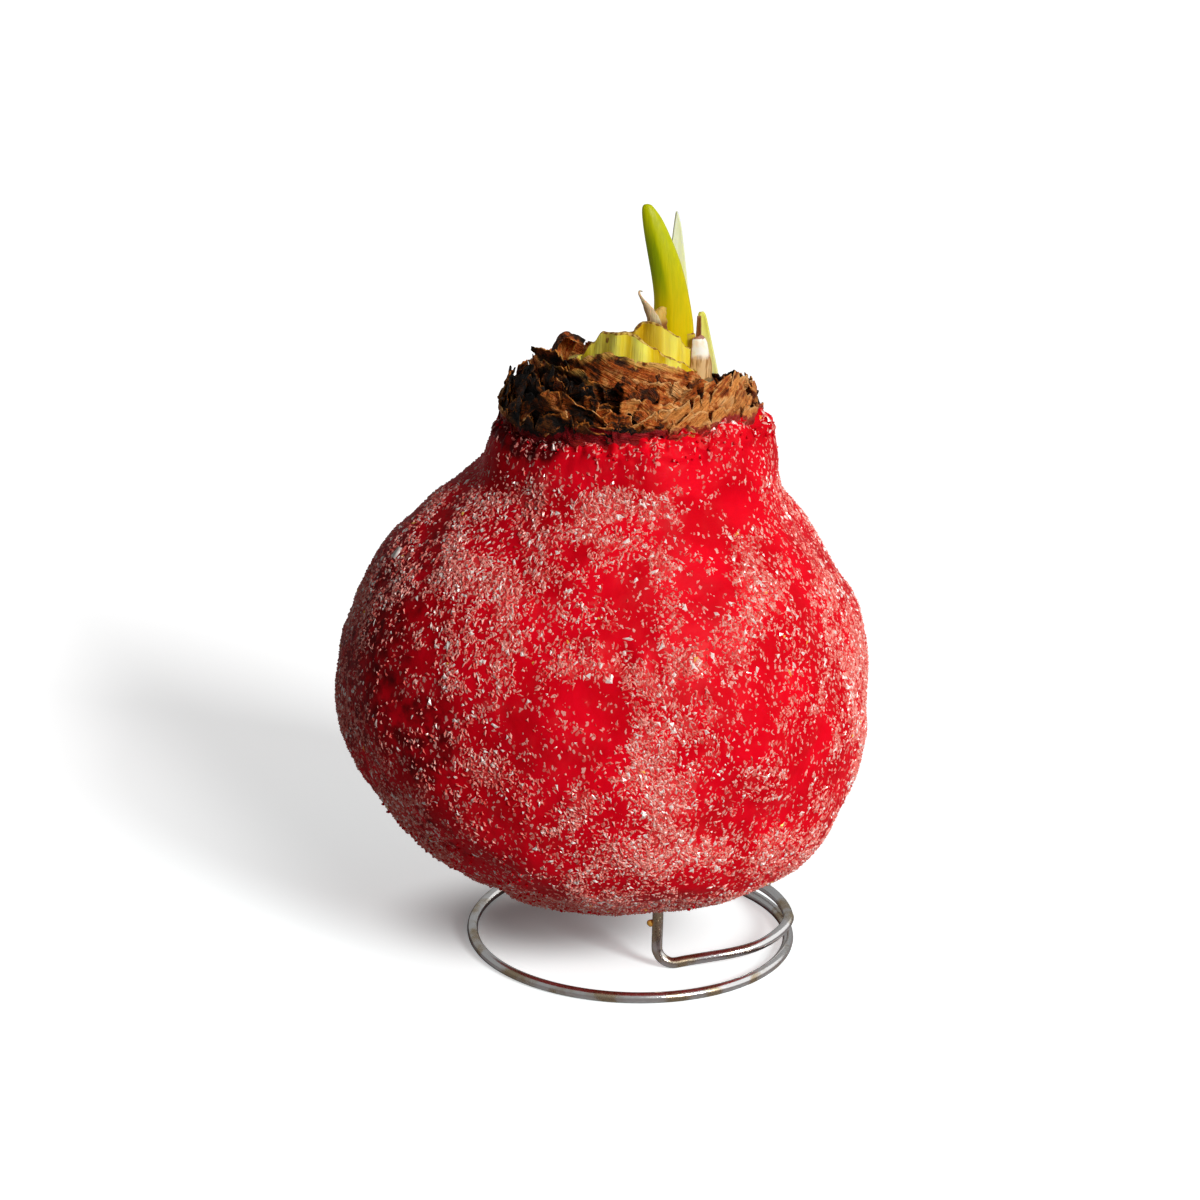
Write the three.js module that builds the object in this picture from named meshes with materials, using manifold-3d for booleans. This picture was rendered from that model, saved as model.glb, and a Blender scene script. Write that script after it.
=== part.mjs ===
// A waxed amaryllis bulb on a bent wire stand.
//
// Millimetres, +Z up. The origin lies on the table, under the middle of the bulb's belly.
// One wire makes the stand: a ring of a turn and a bit on the table, an arm that comes
// inwards and down, and a spike that stands in the bulb's base. The bulb fills its wax coat
// up to the neck, where dry skins are wrapped round it and cut scales and shoots grow out.

import * as THREE from 'three';
import { mergeVertices } from 'three/addons/utils/BufferGeometryUtils.js';
import Module from 'manifold-3d';

const solids = await Module();
solids.setup();

// Between neighbours that touch
const gap = 0.3;

// Wire stand
const wire = {
	radius: 1,
	sides: 12,
	ringRadius: 29.5, // to the middle of the wire
	ringCentre: [ 6.5, 6 ],
	turn: 402, // degrees, from the arm's end of the ring to the wire's free end
	step: 6, // degrees between sections of the ring
	levelFrom: 210, // beyond this angle the ring lies flat on the table
	rise: 3.17, // how far the arm's end of the ring climbs, to pass over the free end
	arm: [ // from the ring in to the bend, and down to the table
		[ 35, 2.9, 3.75 ], [ 33, - 0.5, 3.4 ], [ 30.6, - 3.2, 3.05 ], [ 28, - 4.9, 2.7 ],
		[ 24.9, - 6.1, 2.35 ], [ 21.6, - 6.9, 2 ], [ 18.4, - 7.5, 1.6 ], [ 16.2, - 7.9, 1.3 ]
	],
	bendRadius: 3.2,
	spike: [ 11.3, - 8.2 ],
	spikeTop: 28
};

// Bulb in its wax: height, middle in x, half width
const outline = [
	[ 13.4, 1, 16 ], [ 14.6, 1, 19.8 ], [ 18, 5.3, 27.4 ], [ 24.5, 3.2, 37 ], [ 33, 2, 43.1 ],
	[ 42, 0.35, 46.4 ], [ 52, 0, 48.3 ], [ 62, - 0.1, 47.1 ], [ 72, 0.1, 42.9 ], [ 80, 0.8, 37.3 ],
	[ 87, 1.8, 30.9 ], [ 92, 3.3, 26.9 ], [ 96, 3.9, 26 ], [ 100, 3.8, 24.9 ], [ 104, 3.8, 24.1 ]
];
const baseDepth = 0.87; // front to back over side to side, at the base
const bellyDepth = 0.97; // the same from the lower belly up, until the neck is round
const coatColumns = 48;
const coatWall = 1.8;
const collarFrom = 96; // above this height the coat is stretched or cut to meet its rim
const collarTop = outline[ outline.length - 1 ][ 0 ];
const spikeHole = 1.4; // radius, in the wax and in the bulb
const rimHeights = [ // azimuth in degrees, height
	[ 0, 103 ], [ 40, 102.2 ], [ 75, 103 ], [ 105, 101.8 ], [ 140, 102.4 ], [ 180, 101.2 ], [ 200, 103 ],
	[ 214, 102.6 ], [ 232, 104 ], [ 257, 106.2 ], [ 273, 104.8 ], [ 286, 105.9 ], [ 300, 104.9 ],
	[ 316, 105.8 ], [ 345, 105.2 ]
];

// Neck of the bulb inside its dry skins
const neckX = 3.8;
const ledgeHeight = 98.8; // the skins stand on this ledge
const neckOutline = [ [ 17.2, ledgeHeight ], [ 16.8, 104 ], [ 15.6, 108 ], [ 13.9, 110 ] ]; // radius, height
const crownHeight = 110; // the flat crown that scales and shoots grow from
const crownRoot = crownHeight + gap;

// Dry skins
const skinColumns = 50;
const skinFoot = ledgeHeight + gap;
const innerSkinTops = [ // azimuth in degrees, height of the tallest inner skin
	[ 0, 112.4 ], [ 45, 113 ], [ 90, 113.2 ], [ 135, 112.9 ], [ 180, 113.2 ], [ 212, 114.6 ], [ 230, 115.7 ],
	[ 245, 117.4 ], [ 255, 117.8 ], [ 275, 116.8 ], [ 294, 115.6 ], [ 316, 114 ], [ 337, 112.9 ]
];

// Cut scales: azimuth in degrees and height of the cut. They stand tall at the front only.
const frontScaleTops = [
	[ 46, 111.9 ], [ 90, 112.5 ], [ 150, 112.2 ], [ 195, 113 ], [ 212, 115.1 ], [ 223, 117.9 ], [ 233, 120.1 ],
	[ 256, 120.7 ], [ 264, 120.5 ], [ 285, 118.1 ], [ 297, 116.4 ], [ 314, 115 ], [ 335, 112.7 ]
];
const middleScaleTops = [
	[ 60, 112.4 ], [ 110, 113.3 ], [ 160, 113 ], [ 200, 114.5 ], [ 230, 117.5 ], [ 254, 120 ], [ 267, 121.8 ],
	[ 277, 122 ], [ 287, 121.6 ], [ 297, 120.6 ], [ 314, 119.2 ], [ 339, 116.3 ]
];

function radians( degrees ) {

	return THREE.MathUtils.degToRad( degrees );

}

// The same draws each time, between -1 and 1
function seededDraw( seed ) {

	let state = seed;
	return function () {

		state = ( state * 16807 ) % 2147483647;
		return 2 * state / 2147483647 - 1;

	};

}

// A height that changes smoothly round the neck, from a list of azimuths and heights
function heightAround( list, angle ) {

	const degrees = THREE.MathUtils.euclideanModulo( THREE.MathUtils.radToDeg( angle ), 360 );
	let k = list.length - 1;
	while ( list[ k ][ 0 ] > degrees ) k --;
	const [ fromAngle, fromHeight ] = list[ k ];
	const [ toAngle, toHeight ] = k + 1 < list.length ? list[ k + 1 ] : [ 360, list[ 0 ][ 1 ] ];
	return THREE.MathUtils.lerp( fromHeight, toHeight,
		THREE.MathUtils.smoothstep( degrees, fromAngle, toAngle ) );

}

// A geometry from points and triangles, turned so that its faces point out
function closedGeometry( points, triangles ) {

	let volume = 0;
	const normal = new THREE.Vector3();
	for ( const [ a, b, c ] of triangles ) {

		volume += normal.crossVectors( points[ b ], points[ c ] ).dot( points[ a ] );

	}

	const order = volume < 0 ? ( [ a, b, c ] ) => [ a, c, b ] : ( corners ) => corners;
	const geometry = new THREE.BufferGeometry().setFromPoints( points );
	geometry.setIndex( triangles.flatMap( order ) );
	return geometry;

}

// Skins rings of points one after another. A ring of one point is a pole. When the first ring
// isn't a pole, the last is joined to it, as in the wall of a shell that is open at both ends.
function loft( rings ) {

	const points = rings.flat();
	const starts = [];
	rings.reduce( ( start, ring ) => ( starts.push( start ), start + ring.length ), 0 );
	const triangles = [];
	const last = rings[ 0 ].length > 1 ? rings.length : rings.length - 1;
	for ( let r = 0; r < last; r ++ ) {

		const s = ( r + 1 ) % rings.length;
		const count = Math.max( rings[ r ].length, rings[ s ].length );
		for ( let k = 0; k < count; k ++ ) {

			const next = ( k + 1 ) % count;
			const low = starts[ r ] + k % rings[ r ].length;
			const lowNext = starts[ r ] + next % rings[ r ].length;
			const high = starts[ s ] + k % rings[ s ].length;
			const highNext = starts[ s ] + next % rings[ s ].length;
			if ( rings[ r ].length > 1 ) triangles.push( [ low, lowNext, high ] );
			if ( rings[ s ].length > 1 ) triangles.push( [ lowNext, highNext, high ] );

		}

	}

	return closedGeometry( points, triangles );

}

// A thin body between two grids of points that lie over each other, its edges closed
function sheet( front, back ) {

	const columns = front.length;
	const rows = front[ 0 ].length;
	const points = [ ...front.flat(), ...back.flat() ];
	const at = ( side, i, j ) => ( side * columns + i ) * rows + j;
	const triangles = [];
	const quad = ( a, b, c, d ) => triangles.push( [ a, b, c ], [ a, c, d ] );
	for ( let i = 0; i < columns - 1; i ++ ) {

		for ( let j = 0; j < rows - 1; j ++ ) {

			quad( at( 0, i, j ), at( 0, i + 1, j ), at( 0, i + 1, j + 1 ), at( 0, i, j + 1 ) );
			triangles.push( [ at( 1, i, j ), at( 1, i + 1, j + 1 ), at( 1, i + 1, j ) ] );
			triangles.push( [ at( 1, i, j ), at( 1, i, j + 1 ), at( 1, i + 1, j + 1 ) ] );

		}

		quad( at( 0, i, 0 ), at( 1, i, 0 ), at( 1, i + 1, 0 ), at( 0, i + 1, 0 ) );
		quad( at( 0, i, rows - 1 ), at( 0, i + 1, rows - 1 ), at( 1, i + 1, rows - 1 ), at( 1, i, rows - 1 ) );

	}

	for ( let j = 0; j < rows - 1; j ++ ) {

		quad( at( 0, 0, j ), at( 0, 0, j + 1 ), at( 1, 0, j + 1 ), at( 1, 0, j ) );
		quad( at( 0, columns - 1, j ), at( 1, columns - 1, j ), at( 1, columns - 1, j + 1 ),
			at( 0, columns - 1, j + 1 ) );

	}

	return closedGeometry( points, triangles );

}

// A ring of points round a vertical axis
function ringOf( columns, x, y, height, halfWidth, halfDepth = halfWidth ) {

	return Array.from( { length: columns }, ( _, k ) => {

		const angle = 2 * Math.PI * k / columns;
		return new THREE.Vector3( x + halfWidth * Math.cos( angle ), y + halfDepth * Math.sin( angle ), height );

	} );

}

function solidOf( geometry ) {

	const bare = new THREE.BufferGeometry();
	bare.setAttribute( 'position', geometry.getAttribute( 'position' ) );
	bare.setIndex( geometry.index );
	const merged = mergeVertices( bare, 1e-4 );
	return new solids.Manifold( new solids.Mesh( {
		numProp: 3,
		vertProperties: merged.getAttribute( 'position' ).array,
		triVerts: new Uint32Array( merged.index.array )
	} ) );

}

// Several geometries grown together into one body
function fused( geometries ) {

	const whole = geometries.map( solidOf ).reduce( ( sum, solid ) => sum.add( solid ) );
	const { vertProperties, triVerts } = whole.getMesh();
	const geometry = new THREE.BufferGeometry();
	geometry.setAttribute( 'position', new THREE.BufferAttribute( vertProperties, 3 ) );
	geometry.setIndex( new THREE.BufferAttribute( triVerts, 1 ) );
	return geometry;

}

// Wire stand: its sections stand on the stations that are listed, close together in the bend

class WireLine extends THREE.CatmullRomCurve3 {

	getPointAt( u, target ) {

		return this.getPoint( u, target );

	}

	getTangentAt( u, target ) {

		return this.getTangent( u, target );

	}

}

function wireStations() {

	const [ ringX, ringY ] = wire.ringCentre;
	const [ spikeX, spikeY ] = wire.spike;
	const stations = [];
	for ( let degrees = wire.turn; degrees >= 0; degrees -= wire.step ) {

		const climb = THREE.MathUtils.smoothstep( wire.levelFrom - degrees, 0, wire.levelFrom );
		stations.push( new THREE.Vector3(
			ringX + wire.ringRadius * Math.cos( radians( degrees ) ),
			ringY + wire.ringRadius * Math.sin( radians( degrees ) ),
			wire.radius + wire.rise * climb ) );

	}

	for ( const point of wire.arm ) stations.push( new THREE.Vector3( ...point ) );

	const bendSteps = 5;
	const bendFoot = wire.radius + 0.05;
	for ( let k = 0; k <= bendSteps; k ++ ) {

		const angle = Math.PI / 2 * k / bendSteps;
		stations.push( new THREE.Vector3(
			spikeX + wire.bendRadius * ( 1 - Math.sin( angle ) ),
			spikeY,
			bendFoot + wire.bendRadius * ( 1 - Math.cos( angle ) ) ) );

	}

	for ( const height of [ 8, 14, 21, wire.spikeTop ] ) {

		stations.push( new THREE.Vector3( spikeX, spikeY, height ) );

	}

	return stations;

}

// The section has a facet that faces down where the wire lies level, so the ring stands flat
function wireStand() {

	const corner = wire.radius / Math.cos( Math.PI / wire.sides );
	const section = new THREE.Shape( Array.from( { length: wire.sides }, ( _, k ) => {

		const angle = 2 * Math.PI * ( k + 0.5 ) / wire.sides;
		return new THREE.Vector2( corner * Math.cos( angle ), corner * Math.sin( angle ) );

	} ) );
	const stations = wireStations();
	return new THREE.ExtrudeGeometry( section, {
		steps: stations.length - 1,
		bevelEnabled: false,
		extrudePath: new WireLine( stations )
	} );

}

// Bulb outline: each row holds the middle in x, the half width and the height

const outlineCurve = new THREE.CatmullRomCurve3(
	outline.map( ( [ height, middle, halfWidth ] ) => new THREE.Vector3( middle, halfWidth, height ) ) );
const outlineRows = outlineCurve.getPoints( 2 * ( outline.length - 1 ) );

// The row moved inwards by a depth, square to the outline
function insetRow( index, depth ) {

	const row = outlineRows[ index ];
	const below = outlineRows[ index - 1 ] ?? new THREE.Vector3( row.x, row.y - 5, row.z );
	const above = outlineRows[ index + 1 ] ?? new THREE.Vector3( row.x, row.y, row.z + 1 );
	const along = new THREE.Vector2( above.y - below.y, above.z - below.z ).normalize();
	return new THREE.Vector3( row.x, row.y - along.y * depth, row.z + along.x * depth );

}

function depthOf( row ) {

	const belly = THREE.MathUtils.lerp( baseDepth, bellyDepth, THREE.MathUtils.smoothstep( row.z, 12, 32 ) );
	return row.y * THREE.MathUtils.lerp( belly, 1, THREE.MathUtils.smoothstep( row.z, 75, 92 ) );

}

// Shallow dents and swellings of the dipped wax
function dent( angle, height ) {

	return 0.35 * Math.sin( 3 * angle + 0.09 * height + 0.6 ) * Math.sin( 0.13 * height )
		+ 0.3 * Math.sin( 5 * angle - 0.12 * height + 2.1 )
		+ 0.2 * Math.sin( 9 * angle + 0.21 * height );

}

function coatRing( row, rim ) {

	const halfDepth = depthOf( row );
	return ringOf( coatColumns, 0, 0, 0, 1 ).map( ( direction ) => {

		const angle = Math.atan2( direction.y, direction.x );
		const swell = rim ? 0 : dent( angle, row.z ) * THREE.MathUtils.smoothstep( row.z, 14, 24 );
		const collar = Math.max( 0, ( row.z - collarFrom ) / ( collarTop - collarFrom ) );
		const height = collar > 0
			? THREE.MathUtils.lerp( collarFrom, heightAround( rimHeights, angle ), collar )
			: row.z;
		return new THREE.Vector3(
			row.x + ( row.y + swell ) * direction.x,
			( halfDepth + swell ) * direction.y,
			height );

	} );

}

// The wax is a shell: up the outside, over the rim, down the inside and out through the hole
function waxCoat() {

	const [ spikeX, spikeY ] = wire.spike;
	const rings = [ ringOf( coatColumns, spikeX, spikeY, outline[ 0 ][ 0 ], spikeHole ) ];
	for ( const row of outlineRows ) rings.push( coatRing( row, false ) );

	const top = outlineRows[ outlineRows.length - 1 ];
	const crest = coatRing( new THREE.Vector3( top.x, top.y - coatWall / 2, top.z ), true );
	for ( const point of crest ) point.z += 0.5;
	rings.push( crest );

	for ( let k = outlineRows.length - 1; k >= 0; k -= 2 ) {

		rings.push( coatRing( insetRow( k, coatWall ), true ) );

	}

	rings.push( ringOf( coatColumns, spikeX, spikeY, outline[ 0 ][ 0 ] + coatWall, spikeHole ) );
	return loft( rings );

}

// The bulb itself: a blind hole for the spike, the body, the ledge, the neck and its crown
function bulbFlesh() {

	const [ spikeX, spikeY ] = wire.spike;
	const inset = coatWall + gap;
	const holeTop = wire.spikeTop + gap;
	const rings = [
		[ new THREE.Vector3( spikeX, spikeY, holeTop ) ],
		ringOf( coatColumns, spikeX, spikeY, holeTop, spikeHole ),
		ringOf( coatColumns, spikeX, spikeY, outline[ 0 ][ 0 ] + inset, spikeHole )
	];
	for ( let k = 0; outlineRows[ k ].z < collarFrom; k += 2 ) {

		rings.push( coatRing( insetRow( k, inset ), true ) );

	}


	const ledge = outline[ outline.length - 1 ][ 2 ] - inset;
	rings.push( ringOf( coatColumns, neckX, 0, ledgeHeight, ledge ) );
	for ( const [ radius, height ] of neckOutline ) {

		rings.push( ringOf( coatColumns, neckX, 0, height, radius ) );

	}

	rings.push( [ new THREE.Vector3( neckX, 0, crownHeight ) ] );
	return loft( rings );

}

// Dry skins: one body whose section climbs from torn lip to torn lip, each skin inside the last.
// A profile entry gives radius, height, and how far the draws may move it in and out and up.
function drySkins( seed, profile ) {

	const draw = seededDraw( seed );
	const rings = profile.map( ( [ radius, height, crease, tear ] ) => {

		const lobe = draw() * Math.PI;
		return ringOf( skinColumns, 0, 0, 0, 1 ).map( ( direction ) => {

			const angle = Math.atan2( direction.y, direction.x );
			const fold = crease * ( 0.6 * Math.sin( 7 * angle + lobe ) + 0.4 * draw() );
			const torn = tear * ( 0.5 * Math.sin( 4 * angle + 2 * lobe ) + 0.5 * draw() );
			const skinHeight = typeof height === 'function' ? height( angle ) : height;
			const skinRadius = ( typeof radius === 'function' ? radius( angle ) : radius ) + fold;
			return new THREE.Vector3( neckX + skinRadius * direction.x, skinRadius * direction.y, skinHeight + torn );

		} );

	} );
	return loft( rings );

}

// Torn flakes that stand up out of the skins, each rooted inside them. Foot, middle and tip
// each give a radius and a height.
function tornFlakes( seed, count, foot, middle, tip ) {

	const draw = seededDraw( seed );
	return Array.from( { length: count }, ( _, k ) => {

		const angle = 2 * Math.PI * ( k + 0.3 * draw() ) / count;
		const lean = 0.12 * draw();
		const flare = 0.5 * draw();
		const reach = 0.7 * draw();
		const at = ( [ radius, height ], turn, out, up ) => [
			neckX + ( radius + out ) * Math.cos( angle + turn ),
			( radius + out ) * Math.sin( angle + turn ),
			height + up ];
		return blade( {
			spine: [ at( foot, 0, 0, 0 ), at( middle, lean / 2, 0.3 * flare, 0 ), at( tip, lean, flare, reach ) ],
			halfWidths: [ 1.6, 1.7 + 0.5 * draw(), 0.4 ],
			side: [ - Math.sin( angle ), Math.cos( angle ), 0.25 * draw() ],
			cup: 0.15,
			thickness: 0.7,
			steps: 3,
			across: 2
		} );

	} );

}

// Where the wax stands higher round the neck, the skins stand higher as well
function rimAt( angle ) {

	return heightAround( rimHeights, angle );

}

function lifted( height ) {

	return ( angle ) => height + 0.5 * Math.max( 0, rimAt( angle ) - 104 );

}

// The outer skins clear the rim of the wax before their first lip turns out over it
function outerSkins() {

	const skins = drySkins( 11, [
		[ 21.8, skinFoot, 0, 0 ],
		[ 22, ( angle ) => rimAt( angle ), 0, 0 ],
		[ 22.9, ( angle ) => rimAt( angle ) + 1.7, 0.3, 0.7 ],
		[ 22.1, ( angle ) => rimAt( angle ) + 1.9, 0.2, 0.5 ],
		[ 21.1, ( angle ) => rimAt( angle ) + 1, 0.1, 0.2 ],
		[ 21.9, lifted( 107.6 ), 0.45, 0.9 ],
		[ 21.1, lifted( 107.9 ), 0.3, 0.6 ],
		[ 20.3, lifted( 106.9 ), 0.1, 0.2 ],
		[ 20.9, lifted( 109.2 ), 0.4, 0.8 ],
		[ 20, lifted( 109.2 ), 0.2, 0.5 ],
		[ 19.4, 106, 0.05, 0 ],
		[ 19.3, skinFoot, 0, 0 ]
	] );
	return fused( [ skins, ...tornFlakes( 31, 11, [ 20.4, 104.6 ], [ 21.8, 106.8 ], [ 22.1, 108.6 ] ) ] );

}

// The inner skins lean in over the neck; the last stands tallest at the front
function innerSkins() {

	const top = ( angle ) => heightAround( innerSkinTops, angle );
	const lean = ( angle, inset ) => 14.9 - 0.4 * ( top( angle ) - 112.5 ) - inset;
	const skins = drySkins( 23, [
		[ 18.7, skinFoot, 0, 0 ],
		[ 18.8, 105, 0.1, 0 ],
		[ 18.5, lifted( 110.1 ), 0.25, 0.6 ],
		[ 17.8, lifted( 110.3 ), 0.2, 0.5 ],
		[ 16.6, lifted( 109.3 ), 0.1, 0.1 ],
		[ 16.1, lifted( 111.5 ), 0.3, 0.4 ],
		[ 15.5, lifted( 111.5 ), 0.2, 0.3 ],
		[ 15, lifted( 110.9 ), 0, 0.1 ],
		[ ( angle ) => lean( angle, 0 ), top, 0.25, 0.5 ],
		[ ( angle ) => lean( angle, 0.8 ), ( angle ) => top( angle ) - 0.2, 0.15, 0.4 ],
		[ 14.2, 110.9, 0, 0 ],
		[ 14.3, 110, 0, 0 ],
		[ 16, 108, 0, 0 ],
		[ 17.2, 104, 0, 0 ],
		[ 17.5, skinFoot, 0, 0 ]
	] );
	const flakes = tornFlakes( 47, 9, [ 17.2, 109 ], [ 17.3, 110.8 ], [ 16.9, 112.8 ] );
	return fused( [ skins, ...flakes, ...leftFlaps() ] );

}

// A blade along a spine: half widths at the spine's points, the side direction and the cup
function blade( { spine, halfWidths, side, cup = 0, thickness = 0.7, steps = 8, across = 4 } ) {

	const line = new THREE.CatmullRomCurve3( spine.map( ( point ) => new THREE.Vector3( ...point ) ) );
	const widths = new THREE.CatmullRomCurve3(
		halfWidths.map( ( width, k ) => new THREE.Vector3( k, width, 0 ) ) );
	const sideways = new THREE.Vector3( ...side ).normalize();
	const front = [];
	const back = [];
	for ( let i = 0; i <= across; i ++ ) {

		const s = 2 * i / across - 1;
		front.push( [] );
		back.push( [] );
		for ( let j = 0; j <= steps; j ++ ) {

			const along = line.getTangent( j / steps );
			const out = new THREE.Vector3().crossVectors( sideways, along ).normalize();
			const width = widths.getPoint( j / steps ).y;
			const middle = line.getPoint( j / steps )
				.addScaledVector( sideways, s * width )
				.addScaledVector( out, cup * width * ( s * s ) );
			const half = thickness / 2 * ( 1 - 0.35 * s * s );
			front[ i ].push( middle.clone().addScaledVector( out, half ) );
			back[ i ].push( middle.clone().addScaledVector( out, - half ) );

		}

	}

	return sheet( front, back );

}

// Two skins that have peeled off at the left: one points outwards, one stands up and curls over
function leftFlaps() {

	return [
		blade( {
			spine: [ [ - 7.6, - 8.4, 112.6 ], [ - 9.4, - 7.2, 114.9 ], [ - 11.6, - 5.6, 115 ], [ - 14, - 4, 115.5 ] ],
			halfWidths: [ 1.8, 1.6, 1.3, 0.35 ],
			side: [ 0.1, - 0.5, 0.85 ],
			cup: 0.25,
			thickness: 0.8
		} ),
		blade( {
			spine: [ [ - 9.8, - 3, 112 ], [ - 9.8, - 2.6, 115.4 ], [ - 9, - 2.3, 117.5 ], [ - 7.8, - 2, 118.3 ],
				[ - 6.3, - 2, 117.6 ], [ - 4.8, - 2.2, 116.8 ] ],
			halfWidths: [ 2.2, 2.2, 2, 1.8, 1.5, 0.8 ],
			side: [ 0.15, 0.95, 0 ],
			cup: 0.2,
			thickness: 0.8,
			steps: 10
		} )
	];

}

// A cut scale: an upright arc of flesh on the crown, leaning in a little towards its cut
function cutScale( { middle, from, to, radius, tops, thickness, pleats = 0, columns } ) {

	const rows = 3;
	const front = [];
	const back = [];
	for ( let i = 0; i <= columns; i ++ ) {

		const angle = radians( THREE.MathUtils.lerp( from, to, i / columns ) );
		const top = heightAround( tops, angle );
		front.push( [] );
		back.push( [] );
		for ( let j = 0; j <= rows; j ++ ) {

			const height = THREE.MathUtils.lerp( crownRoot, top, j / rows );
			const pleat = pleats * Math.sin( 14 * angle ) * j / rows;
			const face = radius + pleat - 0.06 * ( height - crownRoot );
			const wall = thickness * ( 1 - 0.25 * j / rows );
			for ( const [ grid, r ] of [ [ front, face ], [ back, face - wall ] ] ) {

				grid[ i ].push( new THREE.Vector3(
					middle[ 0 ] + r * Math.cos( angle ), middle[ 1 ] + r * Math.sin( angle ), height ) );

			}

		}

	}

	return sheet( front, back );

}

function frontScale() {

	return cutScale( {
		middle: [ 4.6, - 0.5 ], from: 46, to: 335, radius: 11.5,
		tops: frontScaleTops, thickness: 1.6, pleats: 0.15, columns: 44
	} );

}

function middleScale() {

	return cutScale( {
		middle: [ 5.6, - 0.3 ], from: 62, to: 339, radius: 8.8,
		tops: middleScaleTops, thickness: 1.4, pleats: 0.15, columns: 36
	} );

}

// Short, thick and white where it was cut, at the right end of the other two
function rightScale() {

	return cutScale( {
		middle: [ 5.2, 0 ], from: 344, to: 359, radius: 12,
		tops: [ [ 0, 117.6 ], [ 344, 117.8 ], [ 351, 118.3 ] ], thickness: 2.3, columns: 5
	} );

}

// A papery membrane that clings to the left foot of the shoot, with a hooked tip
function membraneCurl() {

	return blade( {
		spine: [ [ 8.2, - 4.9, crownRoot ], [ 8.2, - 5, 117 ], [ 8.1, - 5, 121 ], [ 7.6, - 5, 122.8 ],
			[ 6.1, - 5.1, 124.2 ], [ 5.1, - 5.1, 125.4 ], [ 4.7, - 5.1, 126.5 ] ],
		halfWidths: [ 1.6, 1.7, 1.75, 1.5, 0.75, 0.4, 0.3 ],
		side: [ 0.97, - 0.25, 0 ],
		cup: - 0.2,
		thickness: 0.6,
		steps: 11
	} );

}

// The shoot: height, middle in x, half width, half depth
function mainShoot() {

	const shootY = - 0.4;
	const sections = [
		[ crownRoot, 11, 3.3, 2.5 ], [ 114, 11, 3.5, 2.6 ], [ 119.4, 10.7, 3.55, 2.6 ], [ 123.9, 10.3, 3.15, 2.4 ],
		[ 127.4, 9.7, 2.95, 2.2 ], [ 131, 8.8, 2.7, 2 ], [ 135, 7.6, 2.2, 1.65 ], [ 138.2, 6.65, 1.65, 1.2 ],
		[ 140.2, 5.9, 1, 0.75 ]
	];
	const rings = sections.map( ( [ height, x, halfWidth, halfDepth ] ) => {

		return ringOf( 14, x, shootY, height, halfWidth, halfDepth );

	} );
	const foot = new THREE.Vector3( sections[ 0 ][ 1 ], shootY, crownRoot );
	const tip = new THREE.Vector3( 5.85, shootY, 141 );
	return loft( [ [ foot ], ...rings, [ tip ] ] );

}

function backLeaf() {

	return blade( {
		spine: [ [ 11.4, 4.6, crownRoot ], [ 11.6, 4.6, 117 ], [ 11.6, 4.7, 124 ], [ 11.2, 4.7, 131 ],
			[ 10.8, 4.6, 136 ], [ 10.6, 4.4, 138.6 ] ],
		halfWidths: [ 2.8, 3, 2.6, 1.5, 0.8, 0.3 ],
		side: [ 1, 0, 0 ],
		cup: 0.25,
		thickness: 0.9
	} );

}

function sideLeaf() {

	return blade( {
		spine: [ [ 15.9, 2.6, crownRoot ], [ 16.1, 2.6, 112 ], [ 16.5, 2.7, 114.5 ], [ 16.25, 2.8, 118 ],
			[ 15.85, 2.8, 121.2 ] ],
		halfWidths: [ 1.2, 1.2, 1.4, 0.85, 0.3 ],
		side: [ 1, 0.1, 0 ],
		cup: 0.2,
		thickness: 0.9,
		steps: 6
	} );

}

function brownSliver() {

	return blade( {
		spine: [ [ 15.2, 1.4, crownRoot ], [ 15.2, 1.4, 114 ], [ 15.2, 1.4, 118 ], [ 15.2, 1.4, 120.8 ] ],
		halfWidths: [ 0.6, 0.5, 0.4, 0.35 ],
		side: [ 1, 0, 0 ],
		thickness: 0.6,
		steps: 4,
		across: 2
	} );

}

// name, geometry, colour, roughness, metalness
const pieces = [
	[ 'wire_stand', wireStand(), 0x9a9a98, 0.2, 1 ],
	[ 'wax_coat', waxCoat(), 0xc00522, 0.35, 0 ],
	[ 'bulb_flesh', bulbFlesh(), 0xd9cf9a, 0.6, 0 ],
	[ 'outer_dry_skins', outerSkins(), 0x2c1a10, 0.9, 0 ],
	[ 'inner_dry_skins', innerSkins(), 0x8a4a22, 0.85, 0 ],
	[ 'front_scale', frontScale(), 0xb9b53a, 0.5, 0 ],
	[ 'middle_scale', middleScale(), 0xb4ac42, 0.5, 0 ],
	[ 'right_scale', rightScale(), 0xeadfc8, 0.55, 0 ],
	[ 'membrane_curl', membraneCurl(), 0xb08a58, 0.8, 0 ],
	[ 'main_shoot', mainShoot(), 0xa8b400, 0.4, 0 ],
	[ 'back_leaf', backLeaf(), 0xb9cf8e, 0.45, 0 ],
	[ 'side_leaf', sideLeaf(), 0xc3cc4a, 0.45, 0 ],
	[ 'brown_sliver', brownSliver(), 0x7a4d20, 0.8, 0 ]
];

const bulb = new THREE.Group();
for ( const [ name, geometry, color, roughness, metalness ] of pieces ) {

	const material = new THREE.MeshStandardMaterial( { color, roughness, metalness, flatShading: true } );
	const mesh = new THREE.Mesh( geometry, material );
	mesh.name = name;
	bulb.add( mesh );

}

export default bulb;
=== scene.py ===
import bpy
import math
import random
import numpy as np
from mathutils import Matrix, Vector, noise


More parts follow.
